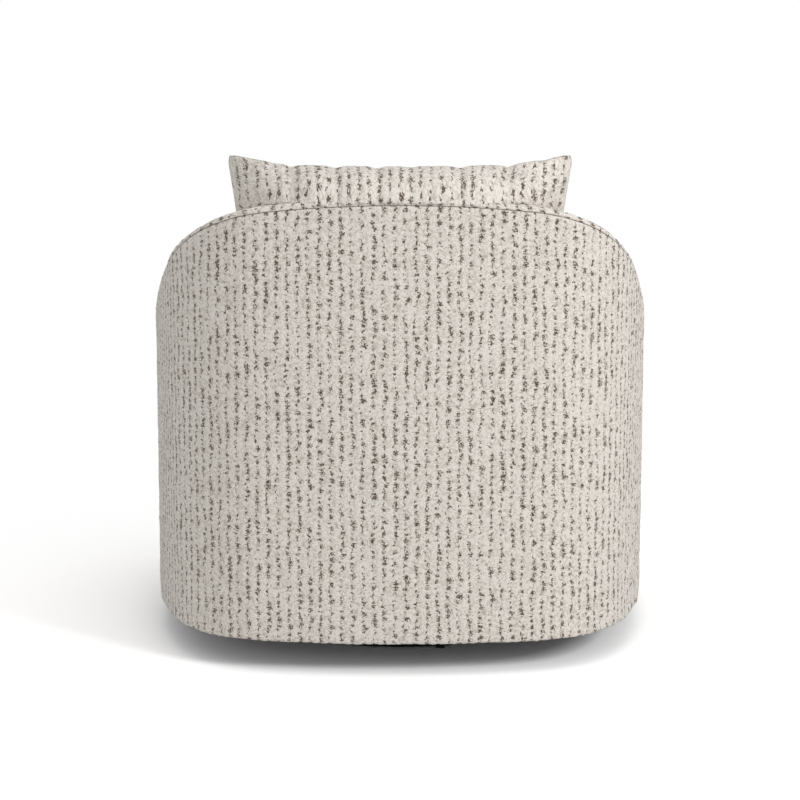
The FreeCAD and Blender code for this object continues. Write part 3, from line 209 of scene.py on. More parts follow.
# The floor: how pale the camera sees it and the lamps feel it, and where it blends to plain white
FLOOR_SEEN = 1.55
FLOOR_FELT = 0.75
FLOOR_NEAR = 0.75
FLOOR_FAR = 1.25
# Each lamp: name, place, aim, size and power
LAMPS = [
    ("key", (-3.0, 2.5, 2.3), (0, 0, 0.4), 1.2, 72),
    ("overhead", (0, 0.3, 3.4), (0, 0, 0), 2.4, 15),
    ("fill", (2.1, 4.0, 1.2), (0, 0, 0.3), 1.8, 20),
]


def points_of(piece):
    found = np.empty(len(piece.data.vertices) * 3, np.float32)
    piece.data.vertices.foreach_get("co", found)
    return found.reshape(-1, 3).astype(float)


def place_points(piece, points):
    piece.data.vertices.foreach_set("co", points.astype(np.float32).ravel())
    piece.data.update()


def normals_of(piece):
    found = np.empty(len(piece.data.vertices) * 3, np.float32)
    piece.data.vertex_normals.foreach_get("vector", found)
    return found.reshape(-1, 3).astype(float)


def cloth_of(piece):
    found = np.empty(len(piece.data.vertices) * 3, np.float32)
    piece.data.attributes["cloth"].data.foreach_get("vector", found)
    return found.reshape(-1, 3).astype(float)


def set_cloth(piece, across, along, fade):
    """Where each point lies on the flat cloth, and how far it is from being held in a seam."""
    layer = piece.data.attributes.get("cloth") or piece.data.attributes.new("cloth", "FLOAT_VECTOR", "POINT")
    values = np.stack([across, along, np.broadcast_to(fade, across.shape)], 1)
    layer.data.foreach_set("vector", values.astype(np.float32).ravel())


def edit(piece, *steps):
    """Runs edit-mode steps on the whole of one piece."""
    bpy.ops.object.select_all(action="DESELECT")
    bpy.context.view_layer.objects.active = piece
    piece.select_set(True)
    bpy.ops.object.mode_set(mode="EDIT")
    bpy.ops.mesh.select_all(action="SELECT")
    for step, settings in steps:
        step(**settings)
    bpy.ops.object.mode_set(mode="OBJECT")
    piece.select_set(False)


def add_modifier(piece, kind, **settings):
    """Adds a modifier, sets it and applies it."""
    bpy.context.view_layer.objects.active = piece
    made = piece.modifiers.new(kind.title(), kind)
    for name, value in settings.items():
        setattr(made, name, value)
    bpy.ops.object.modifier_apply(modifier=made.name)


def smooth(piece):
    piece.select_set(True)
    bpy.context.view_layer.objects.active = piece
    bpy.ops.object.shade_smooth()
    piece.select_set(False)


def panel(name, across, along, rule):
    """A grid of cloth whose columns and rows a rule puts in place."""
    bpy.ops.mesh.primitive_grid_add(x_subdivisions=across, y_subdivisions=along, size=1, calc_uvs=False)
    piece = bpy.context.object
    piece.name = piece.data.name = name
    flat = points_of(piece)
    column = np.rint((flat[:, 0] + 0.5) * across).astype(int)
    row = np.rint((flat[:, 1] + 0.5) * along).astype(int)
    points, (u, v, fade) = rule(column, row)
    place_points(piece, points)
    set_cloth(piece, u, v, fade)
    return piece


def ripple(u, v, length, seed):
    """Soft unevenness about -1 to 1, as twelve waves of about one length."""
    draw = np.random.default_rng(seed)
    total = 0
    for _ in range(12):
        angle, phase = draw.uniform(0, 2 * math.pi, 2)
        turns = 2 * math.pi / (length * draw.uniform(0.7, 1.5))
        total = total + np.sin(turns * (u * math.cos(angle) + v * math.sin(angle)) + phase)
    return total / 4


def knit(piece):
    """Raises the yarn columns and their loops out of the cloth."""
    u, v, fade = cloth_of(piece).T
    ridge = 0.5 * np.cos(2 * math.pi * u / COLUMN)
    lift = RIDGE * ridge + LOOP_LIFT * ripple(u, v, LOOP_LENGTH, 7) + WAVE_LIFT * ripple(u, v, WAVE_LENGTH, 8)
    place_points(piece, points_of(piece) + normals_of(piece) * (lift * fade)[:, None])


def groove(distance):
    """How far cloth is drawn in at a distance from its seam."""
    return SEAM_DEEP * np.exp(-np.maximum(distance, 0) / SEAM_WIDE)


def near(distance):
    """0 in a seam and 1 away from it."""
    return 1 - np.exp(-np.maximum(distance, 0) / SEAM_FADE)


# Plan, rim and roll of the shell


def plan(turn, inset):
    """Points of the plan at turns, moved inwards by an inset."""
    turn = np.where(turn > 180, turn - 360, turn)
    arc = np.searchsorted(PLAN[:, 0], np.abs(turn), side="right") - 1
    reach = PLAN[arc, 3] - inset
    angle = np.radians(np.abs(turn))
    side = np.where(turn < 0, -1, 1)
    return side * (PLAN[arc, 1] + reach * np.sin(angle)), PLAN[arc, 2] + reach * np.cos(angle)


def rim(turn):
    """Height of the seam under the roll."""
    back = HALF_DEPTH - plan(turn, 0)[1]
    drop = BACK_HEIGHT - ARM_HEIGHT
    meet = drop / math.tan(RIM_SLOPE)
    tangent = RIM_BLEND * math.tan(RIM_SLOPE / 2)
    reach = np.clip(meet + tangent - back, 0, RIM_BLEND)
    blended = ARM_HEIGHT + RIM_BLEND - np.sqrt(RIM_BLEND**2 - reach**2)
    sloped = BACK_HEIGHT - back * math.tan(RIM_SLOPE)
    return np.where(back < meet - tangent * math.cos(RIM_SLOPE), sloped, blended)


def roll_radii(turn):
    share = np.clip((np.abs(turn) - ROLL_EASE_START) / (ARM_END - ROLL_EASE_START), 0, 1)
    ease = share * share * (3 - 2 * share)
    return ROLL_OUTER + (ROLL_ARM - ROLL_OUTER) * ease, ROLL_INNER + (ROLL_ARM - ROLL_INNER) * ease


def track(low, high, inset):
    """Turns and lengths along the plan between two turns at an inset."""
    turns = np.linspace(low, high, 3001)
    x, y = plan(turns, inset)
    steps = np.hypot(np.diff(x), np.diff(y))
    return turns, np.concatenate([[0], np.cumsum(steps)])


def stations(length):
    """Places along a strip: four a column, and closer at its two sewn ends."""
    even = np.linspace(0, length, 2 * round(length / STEP / 2) + 1)
    return np.unique(np.concatenate([even, SEAM_STEPS, length - SEAM_STEPS]))


def rows(*stops):
    """Rows between stops; each stop is its values and the steps that lead to it."""
    made = [np.array([stops[0][:-1]], float)]
    for before, stop in zip(stops, stops[1:]):
        share = np.arange(1, stop[-1] + 1)[:, None] / stop[-1]
        made.append(np.array(before[:-1]) * (1 - share) + np.array(stop[:-1]) * share)
    return np.concatenate(made)


def wall_points(turn, inset, height):
    x, y = plan(turn, inset)
    return np.stack([x, y, height], 1)


# Bottom edge of a cover, folded in under the wooden hoop: inset, share of the height, lift, steps
FOLD = [
    (0.0120, 0, 0.0052, 0),
    (0.0085, 0, 0.0014, 1),
    (0.0045, 0, 0.0000, 1),
    (0.0018, 0, 0.0008, 1),
    (0.0004, 0, 0.0030, 1),
    (0.0000, 0, 0.0065, 1),
]


def make_outside():
    """The one-piece cover of the back and sides, from one arm's end round to the other."""
    turns, lengths = track(-ARM_END, ARM_END, 0)
    places = stations(lengths[-1])
    lines = rows(
        *FOLD,
        (0, 1, -0.0400, 60),
        (0, 1, -0.0065, 8),
        (0, 1, -0.0040, 1),
        (0, 1, -0.0024, 1),
        (0, 1, -0.0013, 1),
        (0, 1, -0.0006, 1),
        (0, 1, 0, 1),
    )

    def rule(column, row):
        s = places[column]
        inset, share, lift = lines[row].T
        u = s - lengths[-1] / 2
        sway = SWAY * ripple(u, share, SWAY_LENGTH, 3) * near(s) * near(lengths[-1] - s)
        turn = np.interp(s + sway, lengths, turns)
        high = rim(turn)
        z = SHELL_BOTTOM + share * (high - SHELL_BOTTOM) + lift
        edge = np.minimum(np.minimum(s, lengths[-1] - s), high - z)
        points = wall_points(turn, inset + groove(edge), z)
        return points, (u, z - inset, near(edge))

    return panel("outside_back_cover", len(places) - 1, len(lines) - 1, rule)


def make_inside():
    """The cover that runs over the roll and down the inside to the deck."""
    turns, lengths = track(-ARM_END, ARM_END, WALL / 2)
    places = stations(lengths[-1])
    # 0 to 1 is the roll's outer curve, then its flat top, its inner curve and the inside of the wall
    part = rows((0, 0), (0.06, 1), (0.13, 1), (0.25, 1), (1, 5), (2, 6), (3, 8), (4, 40))[:, 0]

    def rule(column, row):
        s, q = places[column], part[row]
        u = s - lengths[-1] / 2
        sway = SWAY * ripple(u, q * 0.1, SWAY_LENGTH, 4) * near(s) * near(lengths[-1] - s)
        turn = np.interp(s + sway, lengths, turns)
        outer, inner = roll_radii(turn)
        crest = rim(turn) + outer
        first, flat, second, down = (np.clip(q - k, 0, 1) for k in range(4))
        level = WALL - outer - inner
        fall = crest - inner - DECK_HEIGHT
        a, b = first * math.pi / 2, second * math.pi / 2
        inset = outer * (1 - np.cos(a)) + level * flat + inner * np.sin(b)
        z = crest - outer * (1 - np.sin(a)) - inner * (1 - np.cos(b)) - fall * down
        v = outer * a + level * flat + inner * b + fall * down
        ends = np.minimum(s, lengths[-1] - s)
        middle = np.clip((inset - WALL / 2) / 0.01, -1, 1)
        edge = np.minimum(ends, v)
        drawn = groove(ends)
        points = wall_points(turn, inset + groove(v) - drawn * middle, z - drawn * (1 - np.abs(middle)))
        return points, (u, v, near(edge))

    return panel("inside_back_cover", len(places) - 1, len(part) - 1, rule)


def make_arm_front(side):
    """The cover of one arm's rounded front end."""
    turn = np.array(side * ARM_END, float)
    radius = WALL / 2
    x, y = plan(turn, radius)
    angle = math.radians(side * ARM_END)
    outwards = np.array([math.sin(angle), math.cos(angle), 0])
    forwards = side * np.array([math.cos(angle), -math.sin(angle), 0])
    crest = ARM_HEIGHT + ROLL_ARM
    # 0 to 1 is the flat top from its middle, then the curve over the edge and the way down
    lines = rows((0.0, 0), (1, 5), (2, 8), (2.97, 26), (3, 2))[:, 0]
    girth = math.pi * radius
    places = stations(girth)

    def rule(column, row):
        s, q = places[column], lines[row]
        level, bend, down = (np.clip(q - k, 0, 1) for k in range(3))
        b = bend * math.pi / 2
        fall = crest - ROLL_ARM - DECK_HEIGHT
        reach = (radius - ROLL_ARM) * level + ROLL_ARM * np.sin(b)
        z = crest - ROLL_ARM * (1 - np.cos(b)) - fall * down
        v = (radius - ROLL_ARM) * level + ROLL_ARM * b + fall * down
        ends = np.minimum(s, girth - s)
        foot = (1 - down) * fall
        reach = np.maximum(reach - (groove(ends) + groove(foot)) * level * bend, 0)
        fan = s / radius
        spread = -np.cos(fan)[:, None] * outwards + np.sin(fan)[:, None] * forwards
        points = np.array([x, y, 0]) + spread * reach[:, None] + np.stack([0 * z, 0 * z, z], 1)
        return points, (s - girth / 2, v, near(np.minimum(ends, foot)))

    name = "arm_front_cover_" + ("left" if side > 0 else "right")
    made = panel(name, len(places) - 1, len(lines) - 1, rule)
    edit(made, (bpy.ops.mesh.remove_doubles, {"threshold": 0.0001}))
    return made


def make_apron():
    """The cover of the front under the seat, turned in over its top edge."""
    turns, lengths = track(ARM_END, 360 - ARM_END, 0)
    places = stations(lengths[-1])
    lines = rows(
        *FOLD,
        (0, 1, -APRON_EDGE, 22),
        (0.0006, 1, -0.0049, 1),
        (0.0023, 1, -0.0023, 1),
        (0.0049, 1, -0.0006, 1),
        (APRON_EDGE, 1, 0, 1),
        (WALL, 1, 0, 12),
    )

    def rule(column, row):
        s = places[column]
        inset, share, lift = lines[row].T
        u = s - lengths[-1] / 2
        turn = np.interp(s, lengths, turns)
        z = SHELL_BOTTOM + share * (DECK_HEIGHT - SHELL_BOTTOM) + lift
        edge = np.minimum(s, lengths[-1] - s)
        # 1 on the part that is turned in over the top edge, where the yarns lie flatter and a little painted
        # seam shade darkens the cloth
        top = np.clip(inset / APRON_EDGE, 0, 1) * (share == 1)
        points = wall_points(turn, inset + groove(edge) * (1 - top), z - groove(edge) * top)
        return points, (u, z + inset * (2 * share - 1), near(edge) * (1 - 0.8 * top))

    return panel("front_apron", len(places) - 1, len(lines) - 1, rule)


def finish_panel(piece, flip, thick=COVER_THICK):
    """Faces a panel outwards, raises its yarns and gives it its padding."""
    if flip:
        edit(piece, (bpy.ops.mesh.flip_normals, {}))
    knit(piece)
    add_modifier(piece, "SOLIDIFY", thickness=thick, offset=-1)
    smooth(piece)


def rolled(name, inset, lines, spacing=0.010):
    """A panel closed round the shell's inner plan, with rows of height, share of the plan and inset."""
    turns, lengths = track(-180, 180, inset)
    count = round(lengths[-1] / spacing)
    places = np.linspace(0, lengths[-1], count + 1)

    def rule(column, row):
        turn = np.interp(places[column], lengths, turns)
        z, share, more = lines[row].T
        x, y = plan(turn, inset + more)
        points = np.stack([x * share, y * share, z], 1)
        return points, (points[:, 0], points[:, 1], 1)

    made = panel(name, count, len(lines) - 1, rule)
    edit(made, (bpy.ops.mesh.remove_doubles, {"threshold": 0.00005}))
    return made


def make_deck():
    """The seat deck: lining cloth over felt, sagging a little in the middle."""
    low = DECK_HEIGHT - DECK_THICK
    lines = rows(
        (low, 0, 0, 0),
        (low, 1, 0.004, 6),
        (low + 0.004, 1, 0, 1),
        (DECK_HEIGHT - 0.0040, 1, 0, 1),
        (DECK_HEIGHT - 0.0012, 1, 0.0012, 1),
        (DECK_HEIGHT, 1, 0.0040, 1),
        (DECK_HEIGHT - 0.0010, 0.8, 0.004, 6),
        (DECK_HEIGHT - DECK_SAG, 0, 0.004, 18),
    )
    made = rolled("seat_deck", WALL + 0.0006, lines)
    smooth(made)
    return made


def make_dust_sheet():
    """Black spunbonded cloth under the frame, with a hole for the mechanism."""
    turns, lengths = track(-180, 180, DUST_INSET)
    places = np.linspace(0, lengths[-1], DUST_COLUMNS + 1)
    lines = np.linspace(0, 1, 15)

    def rule(column, row):
        turn = np.interp(places[column], lengths, turns)
        x, y = plan(turn, DUST_INSET)
        share = lines[row]
        angle = np.arctan2(x, y)
        stretch = 1 / np.maximum(np.abs(np.sin(angle)) / DUST_HOLE_WIDE, np.abs(np.cos(angle)) / DUST_HOLE_LONG)
        off_corner = np.abs(angle) % (math.pi / 2) - math.atan2(DUST_HOLE_WIDE, DUST_HOLE_LONG)
        rounding = DUST_HOLE_CORNER * np.exp(-((off_corner / 0.06) ** 2))
        hole_x, hole_y = (stretch - rounding) * np.sin(angle), (stretch - rounding) * np.cos(angle)
        uneven = ripple(x * (1 - share) + hole_x * share, y, 0.15, 21)
        sag = DUST_SAG * np.sin(share * math.pi) * (1 + 0.4 * uneven)
        points = np.stack([x + (hole_x - x) * share, y + (hole_y - y) * share, DUST_HEIGHT - sag], 1)
        return points, (points[:, 0], points[:, 1], 1)

    made = panel("dust_sheet", DUST_COLUMNS, len(lines) - 1, rule)
    edit(made, (bpy.ops.mesh.remove_doubles, {"threshold": 0.00005}))
    add_modifier(made, "SOLIDIFY", thickness=DUST_THICK, offset=0)
    smooth(made)
    return made


# Stuffed pieces


def inflate(piece, freedom, pressure=4.0, frames=20):
    """Blows a closed piece up as cloth, each point no further than its freedom."""
    rest = points_of(piece)
    cloth = piece.modifiers.new("Stuffing", "CLOTH")
    cloth.settings.quality = 5
    cloth.settings.mass = 0.3
    cloth.settings.tension_stiffness = 15
    cloth.settings.compression_stiffness = 15
    cloth.settings.bending_stiffness = 0.5
    cloth.settings.use_pressure = True
    cloth.settings.uniform_pressure_force = pressure
    cloth.settings.effector_weights.gravity = 0
    cloth.collision_settings.use_collision = False
    scene = bpy.context.scene
    for frame_number in range(1, frames + 1):
        scene.frame_set(frame_number)
    blown = piece.evaluated_get(bpy.context.evaluated_depsgraph_get())
    found = np.empty(len(rest) * 3, np.float32)
    blown.data.vertices.foreach_get("co", found)
    piece.modifiers.remove(cloth)
    scene.frame_set(1)
    moved = found.reshape(-1, 3) - rest
    size = np.linalg.norm(moved, axis=1)
    place_points(piece, rest + moved * (np.minimum(size, freedom) / np.maximum(size, 1e-9))[:, None])


def inner_wall_y(x):
    """Where the inside of the back is at a place across."""
    turns = np.linspace(0, 90, 901)
    wall_x, wall_y = plan(turns, WALL)
    return np.interp(np.abs(x), wall_x, wall_y)


def bowed(a, b, bow, t):
    """A point on the way from a to b in the upright plane, on a line that bows to its right."""
    chord = b - a
    aside = np.stack([chord[:, 1], -chord[:, 0]], 1) / np.linalg.norm(chord, axis=1)[:, None]
    return a + chord * t[:, None] + aside * (4 * t * (1 - t) * bow)[:, None]


def back_at(x):
    """The back at a place across: inner face, crown of the roll, outer edge and the crown's height."""
    turns = np.linspace(0, 89, 900)
    faces = []
    for inset in (WALL, WALL - ROLL_INNER, PILLOW_LIP):
        wall_x, wall_y = plan(turns, inset)
        faces.append(np.interp(np.abs(x), wall_x, wall_y))
    crown_x, _ = plan(turns, WALL - ROLL_INNER)
    return *faces, np.interp(np.abs(x), crown_x, rim(turns)) + ROLL_OUTER


def clear_of_back(points):
    """How far points are from the rounded inside and top of the back."""
    _, crown_y, _, crest = back_at(points[:, 0])
    ahead = np.maximum(crown_y - points[:, 1], 0)
    above = np.maximum(points[:, 2] - crest + ROLL_INNER, 0)
    return np.hypot(ahead, above) - ROLL_INNER


def pillow_faces(s, t):
    """Front and rear of the pillow at shares across and up, in y and z."""
    x = s * PILLOW_HALF
    share = np.abs(s)
    shift = inner_wall_y(x) - inner_wall_y(0 * x)
    thin = np.sqrt(np.maximum(0, 1 - share**3.2))
    slump = np.maximum(0, 1 - (x / PILLOW_SLUMP_HALF) ** 2)
    drape = np.clip(1.25 * (1 - (np.abs(x) / PILLOW_DRAPE_HALF) ** 2.5), 0, 1)
    low = np.stack([PILLOW_LOW_Y + shift * 0.35, SEAT_TOP + 0.002 + 0 * x], 1)
    rise = PILLOW_EAR * np.maximum(0, (share - PILLOW_EAR_START) / (1 - PILLOW_EAR_START))
    pinch = sum(w * np.exp(-(((x - at) / PINCH_WIDE) ** 2)) for at, w in PILLOW_PINCHES)
    top_y = PILLOW_TOP_Y - PILLOW_SLUMP * (1 - slump) + shift * 0.8
    top = np.stack([top_y, PILLOW_TOP + rise - PINCH_DEEP * pinch], 1)
    inner_y, crown_y, outer_y, crest = back_at(x)
    knee = np.stack([inner_y - PILLOW_CLEAR, crest - ROLL_INNER], 1)
    crown = np.stack([crown_y, crest + PILLOW_CLEAR], 1)
    over_z = crest + PILLOW_HANG_RISE - PILLOW_HANG_DROP * drape**3
    over = np.stack([crown_y + (outer_y - crown_y) * drape, over_z], 1)
    front = bowed(low, top, -PILLOW_BULGE * thin, t)
    # the rear's way up: a point, its share of the rows, and how the line that leads to it bows
    stops = [
        (low, 0, 0),
        (knee, PILLOW_LEAVES / PILLOW_ROWS, 0.012 * thin),
        (crown, PILLOW_CROWNS / PILLOW_ROWS, -0.3 * ROLL_INNER - 0.001),
        (over, PILLOW_HANGS / PILLOW_ROWS, -0.0095 * drape),
        (top, 1, 0.010 * drape + 0.006 * thin),
    ]
    rear = low
    for (a, begin, _), (b, stop, bow) in zip(stops, stops[1:]):
        part = bowed(a, b, bow, np.clip((t - begin) / (stop - begin), 0, 1))
        rear = np.where((t > begin)[:, None], part, rear)
    chord = low + (top - low) * t[:, None]
    full = np.sqrt(np.maximum(0, 1 - share**8))[:, None]
    lip = np.minimum(1, np.sqrt(np.maximum(0, 1 - t) / 0.04))[:, None]
    crease = pinch * np.exp(-(1 - t) / 0.09)
    keep = full * (1 - 0.14 * crease[:, None])
    return chord + (front - chord) * keep, chord + (rear - chord) * keep * (0.4 + 0.6 * lip)


def rounded(aside, below):
    """Distances from two edges, moved so that the corner between them is round."""
    a, b = 1 - np.clip(aside / PILLOW_CORNER, 0, 1), 1 - np.clip(below / PILLOW_CORNER, 0, 1)
    pull = 1 - np.maximum(a, b) / np.maximum(np.hypot(a, b), 1e-9)
    return PILLOW_CORNER * a * pull, PILLOW_CORNER * b * pull


def make_pillow():
    """The knife-edged pillow: two panels sewn all round, pinched along the top seam."""
    across, along = PILLOW_COLUMNS, PILLOW_ROWS
    tall = PILLOW_TOP - SEAT_TOP

    def face(which):
        def rule(column, row):
            s = column / across * 2 - 1
            t = row / along
            found = pillow_faces(s, t)[which]
            aside, below = rounded((1 - np.abs(s)) * PILLOW_HALF, (1 - t) * tall)
            z = found[:, 1] - below
            curve = np.sqrt(PILLOW_WAIST_RADIUS**2 - (z - PILLOW_WAIST_HEIGHT) ** 2)
            wide = PILLOW_WAIST + PILLOW_WAIST_RADIUS - curve
            points = np.stack([s * wide - np.sign(s) * aside, found[:, 0], z], 1)
            edge = np.minimum((1 - np.abs(s)) * PILLOW_HALF, np.minimum(t, 1 - t) * tall)
            # whole columns across, and the rear's half a column off the front's
            u = s * COLUMN * round(PILLOW_HALF / COLUMN)
            return points, (u + (0.5 * COLUMN if which else 0), t * tall * PILLOW_GIRTH, near(edge))

        return rule

    front = panel("back_pillow", across, along, face(0))
    rear = panel("pillow_rear", across, along, face(1))
    edit(rear, (bpy.ops.mesh.flip_normals, {}))
    join(front, rear)
    edit(
        front,
        (bpy.ops.mesh.remove_doubles, {"threshold": 0.0002}),
        (bpy.ops.mesh.normals_make_consistent, {"inside": False}),
    )
    points = points_of(front)
    u, v, _ = cloth_of(front).T
    aside = PILLOW_HALF - np.abs(u)
    edge = np.minimum(aside, np.minimum(v / PILLOW_GIRTH, tall - v / PILLOW_GIRTH))
    # the stuffing moves the cloth least at its seams and not at all where it lies on the back
    off_back = np.clip((clear_of_back(points) - 0.002) / 0.02, 0, 1)
    freedom = PILLOW_FREEDOM * off_back * np.clip(edge / 0.06, 0.08, 1)
    inflate(front, freedom * (points[:, 2] > SEAT_TOP + 0.02), frames=14)
    add_modifier(front, "SUBSURF", levels=1, render_levels=1)
    knit(front)
    smooth(front)
    return front


def join(kept, *others):
    """Joins pieces into the first one."""
    bpy.ops.object.select_all(action="DESELECT")
    for piece in (kept, *others):
        piece.select_set(True)
    bpy.context.view_layer.objects.active = kept
    bpy.ops.object.join()
    kept.select_set(False)


def copy_of(node, name):
    """A copy of a node's mesh as a piece of its own, with its loose triangles merged."""
    piece = nodes[node].copy()
    piece.data = nodes[node].data.copy()
    piece.parent = None
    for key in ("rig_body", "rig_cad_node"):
        del piece[key]
    piece.name = piece.data.name = name
    bpy.context.scene.collection.objects.link(piece)
    piece.data.materials.clear()
    edit(piece, (bpy.ops.mesh.remove_doubles, {"threshold": 0.00001}))
    return piece


def girth_at(points, centre_y):
    """The length round the cushion to each point, from the rear."""
    angle = np.arctan2(points[:, 0], points[:, 1] - centre_y)
    bins = np.linspace(-math.pi, math.pi, 361)
    reach = np.hypot(points[:, 0], points[:, 1] - centre_y)
    which = np.digitize(angle, bins) - 1
    outer = np.array([reach[which == k].max() if (which == k).any() else 0 for k in range(360)])
    middle = (bins[:-1] + bins[1:]) / 2
    ring = np.stack([outer * np.sin(middle), outer * np.cos(middle)], 1)
    steps = np.linalg.norm(np.diff(ring, axis=0), axis=1)
    lengths = np.concatenate([[0], np.cumsum(steps)])
    return np.interp(angle, middle, lengths - lengths[180])


def make_seat_cushion():
    """The boxed seat cushion: crowned top, drawn-in sides, seams along both edges."""
    piece = copy_of("seat_cushion_core", "seat_cushion")
    add_modifier(piece, "REMESH", mode="VOXEL", voxel_size=SEAT_GRAIN)
    add_modifier(piece, "SMOOTH", factor=0.5, iterations=4)
    low, high = (f(points_of(piece)[:, 2]) for f in (np.min, np.max))
    points = points_of(piece)
    free_front = np.clip((SEAT_FRONT_Y - points[:, 1]) / 0.06, 0, 1)
    freedom = np.where(points[:, 2] < low + 0.004, 0, SEAT_FREEDOM + SEAT_FRONT_FREEDOM * free_front)
    inflate(piece, freedom, frames=16)
    add_modifier(piece, "SUBSURF", levels=1, render_levels=1)
    points = points_of(piece)
    side_low, side_high = low + SEAT_SEAM_LOW, high - SEAT_CROWN - SEAT_SEAM_HIGH
    z = points[:, 2]
    # the columns go round the boxing and straight back over the top and bottom
    on_side = (z > side_low) & (z < side_high)
    u = np.where(on_side, girth_at(points, SEAT_MIDDLE_Y), points[:, 0])
    v = np.where(on_side, z, points[:, 1])
    round_edge = np.abs(normals_of(piece)[:, 2]) < 0.97
    seam = np.where(round_edge, np.minimum(np.abs(z - side_low), np.abs(z - side_high)), 1)
    set_cloth(piece, u, v, near(seam))
    place_points(piece, points - normals_of(piece) * groove(seam)[:, None])
    knit(piece)
    smooth(piece)
    return piece


def make_zip():
    """The zip in the cushion's rear side: its tape, a row of teeth and a slider."""
    bpy.ops.mesh.primitive_cube_add(size=1, location=(0, 0, 0))
    tooth = bpy.context.object
    tooth.dimensions = ZIP_TOOTH
    bpy.ops.object.transform_apply(location=False, rotation=False, scale=True)
    tooth.name = tooth.data.name = "seat_zip"
    add_modifier(tooth, "BEVEL", width=0.0004, segments=1)
    add_modifier(
        tooth,
        "ARRAY",
        count=ZIP_TEETH,
        use_relative_offset=False,
        use_constant_offset=True,
        constant_offset_displace=(ZIP_LONG / ZIP_TEETH, 0, 0),
    )
    place_points(tooth, points_of(tooth) - np.array([ZIP_LONG / 2, 0, 0]))
    bpy.ops.mesh.primitive_grid_add(x_subdivisions=90, y_subdivisions=6, size=1)
    tape = bpy.context.object
    flat = points_of(tape)
    placed = [flat[:, 0] * ZIP_LONG, 0 * flat[:, 0] - ZIP_TAPE_THICK / 2, flat[:, 1] * ZIP_TAPE_WIDE]
    place_points(tape, np.stack(placed, 1))
    add_modifier(tape, "SOLIDIFY", thickness=ZIP_TAPE_THICK, offset=0)
    bpy.ops.mesh.primitive_cube_add(size=1, location=(0, 0, 0))
    slider = bpy.context.object
    slider.dimensions = ZIP_SLIDER
    slider.location = (ZIP_LONG * 0.46, 0.0012, 0)
    bpy.ops.object.transform_apply()
    add_modifier(slider, "BEVEL", width=0.001, segments=2)
    join(tooth, tape, slider)
    # the whole follows the curve of the back
    points = points_of(tooth)
    _, y = plan(np.zeros(1), WALL + ZIP_INSET)
    z = DECK_HEIGHT + ZIP_RISE
    bend = PLAN[0, 3] - WALL - ZIP_INSET
    depth = y[0] - ZIP_BEHIND + points[:, 1] - points[:, 0] ** 2 / (2 * bend)
    place_points(tooth, np.stack([points[:, 0], depth, points[:, 2] + z], 1))
    set_cloth(tooth, points[:, 0], points[:, 2], 1)
    return tooth


# Materials


def colour(code):
    """An sRGB hex colour as the linear values that a socket takes."""
    parts = [int(code[k : k + 2], 16) / 255 for k in (1, 3, 5)]
    return tuple(c / 12.92 if c <= 0.04045 else ((c + 0.055) / 1.055) ** 2.4 for c in parts) + (1,)


def add(tree, kind, inputs=(), **settings):
    """Adds a node, sets it, and sets or links its inputs."""
    node = tree.nodes.new(kind)
    for name, value in settings.items():
        setattr(node, name, value)
    for name, value in dict(inputs).items():
        if isinstance(value, bpy.types.Node):
            value = value.outputs[0]
        if isinstance(value, bpy.types.NodeSocket):
            tree.links.new(value, node.inputs[name])
        else:
            node.inputs[name].default_value = value
    return node


def maths(tree, operation, *values):
    """A node for one sum of numbers."""
    return add(tree, "ShaderNodeMath", dict(enumerate(values)), operation=operation)


def tint(tree, share, low, high):
    """A colour between two."""
    return add(tree, "ShaderNodeMix", {0: share, 6: low, 7: high}, data_type="RGBA").outputs[2]


def noise(tree, place, size, detail, rough):
    """A noise whose spots are about one size across."""
    inputs = {"Vector": place, "Scale": 1 / size, "Detail": detail, "Roughness": rough}
    return add(tree, "ShaderNodeTexNoise", inputs)


def material(name):
    """An empty material with its output."""
    made = bpy.data.materials.new(name)
    made.use_nodes = True
    made.node_tree.nodes.clear()
    return made, made.node_tree, add(made.node_tree, "ShaderNodeOutputMaterial")


def flecks(tree, u, v, across, along, half, jitter, least, most):
    """Dark flecks, one to a cell of the cloth, each of its own size and a little off its place."""
    places, cells = [], []
    offset = None
    for value, pitch in ((u, across), (v, along)):
        scaled = maths(tree, "MULTIPLY", value, 1 / pitch)
        if offset:
            scaled = maths(tree, "MULTIPLY_ADD", offset, 7.0, scaled)
        cell = maths(tree, "FLOOR", scaled)
        share = maths(tree, "FRACT", scaled)
        places.append(maths(tree, "MULTIPLY_ADD", share, pitch, -pitch / 2))
        cells.append(cell)
        offset = offset or add(tree, "ShaderNodeTexWhiteNoise", {"W": cell}, noise_dimensions="1D")
    cell = add(tree, "ShaderNodeCombineXYZ", {0: cells[0], 1: cells[1]})
    draw = add(tree, "ShaderNodeTexWhiteNoise", {"Vector": cell}, noise_dimensions="2D")
    centred = add(tree, "ShaderNodeVectorMath", {0: draw.outputs[1], 1: (0.5, 0.5, 0.5)}, operation="SUBTRACT")
    local = add(tree, "ShaderNodeCombineXYZ", {0: places[0], 1: places[1]})
    moved = add(tree, "ShaderNodeVectorMath", {0: centred, 1: jitter, 2: local}, operation="MULTIPLY_ADD")
    sized = add(tree, "ShaderNodeVectorMath", {0: moved, 1: half}, operation="DIVIDE")
    reach = add(tree, "ShaderNodeVectorMath", {0: sized}, operation="LENGTH").outputs["Value"]
    size = add(tree, "ShaderNodeMapRange", {0: draw.outputs[0], 1: 0.0, 2: 1.0, 3: least, 4: most})
    return maths(tree, "DIVIDE", reach, size)


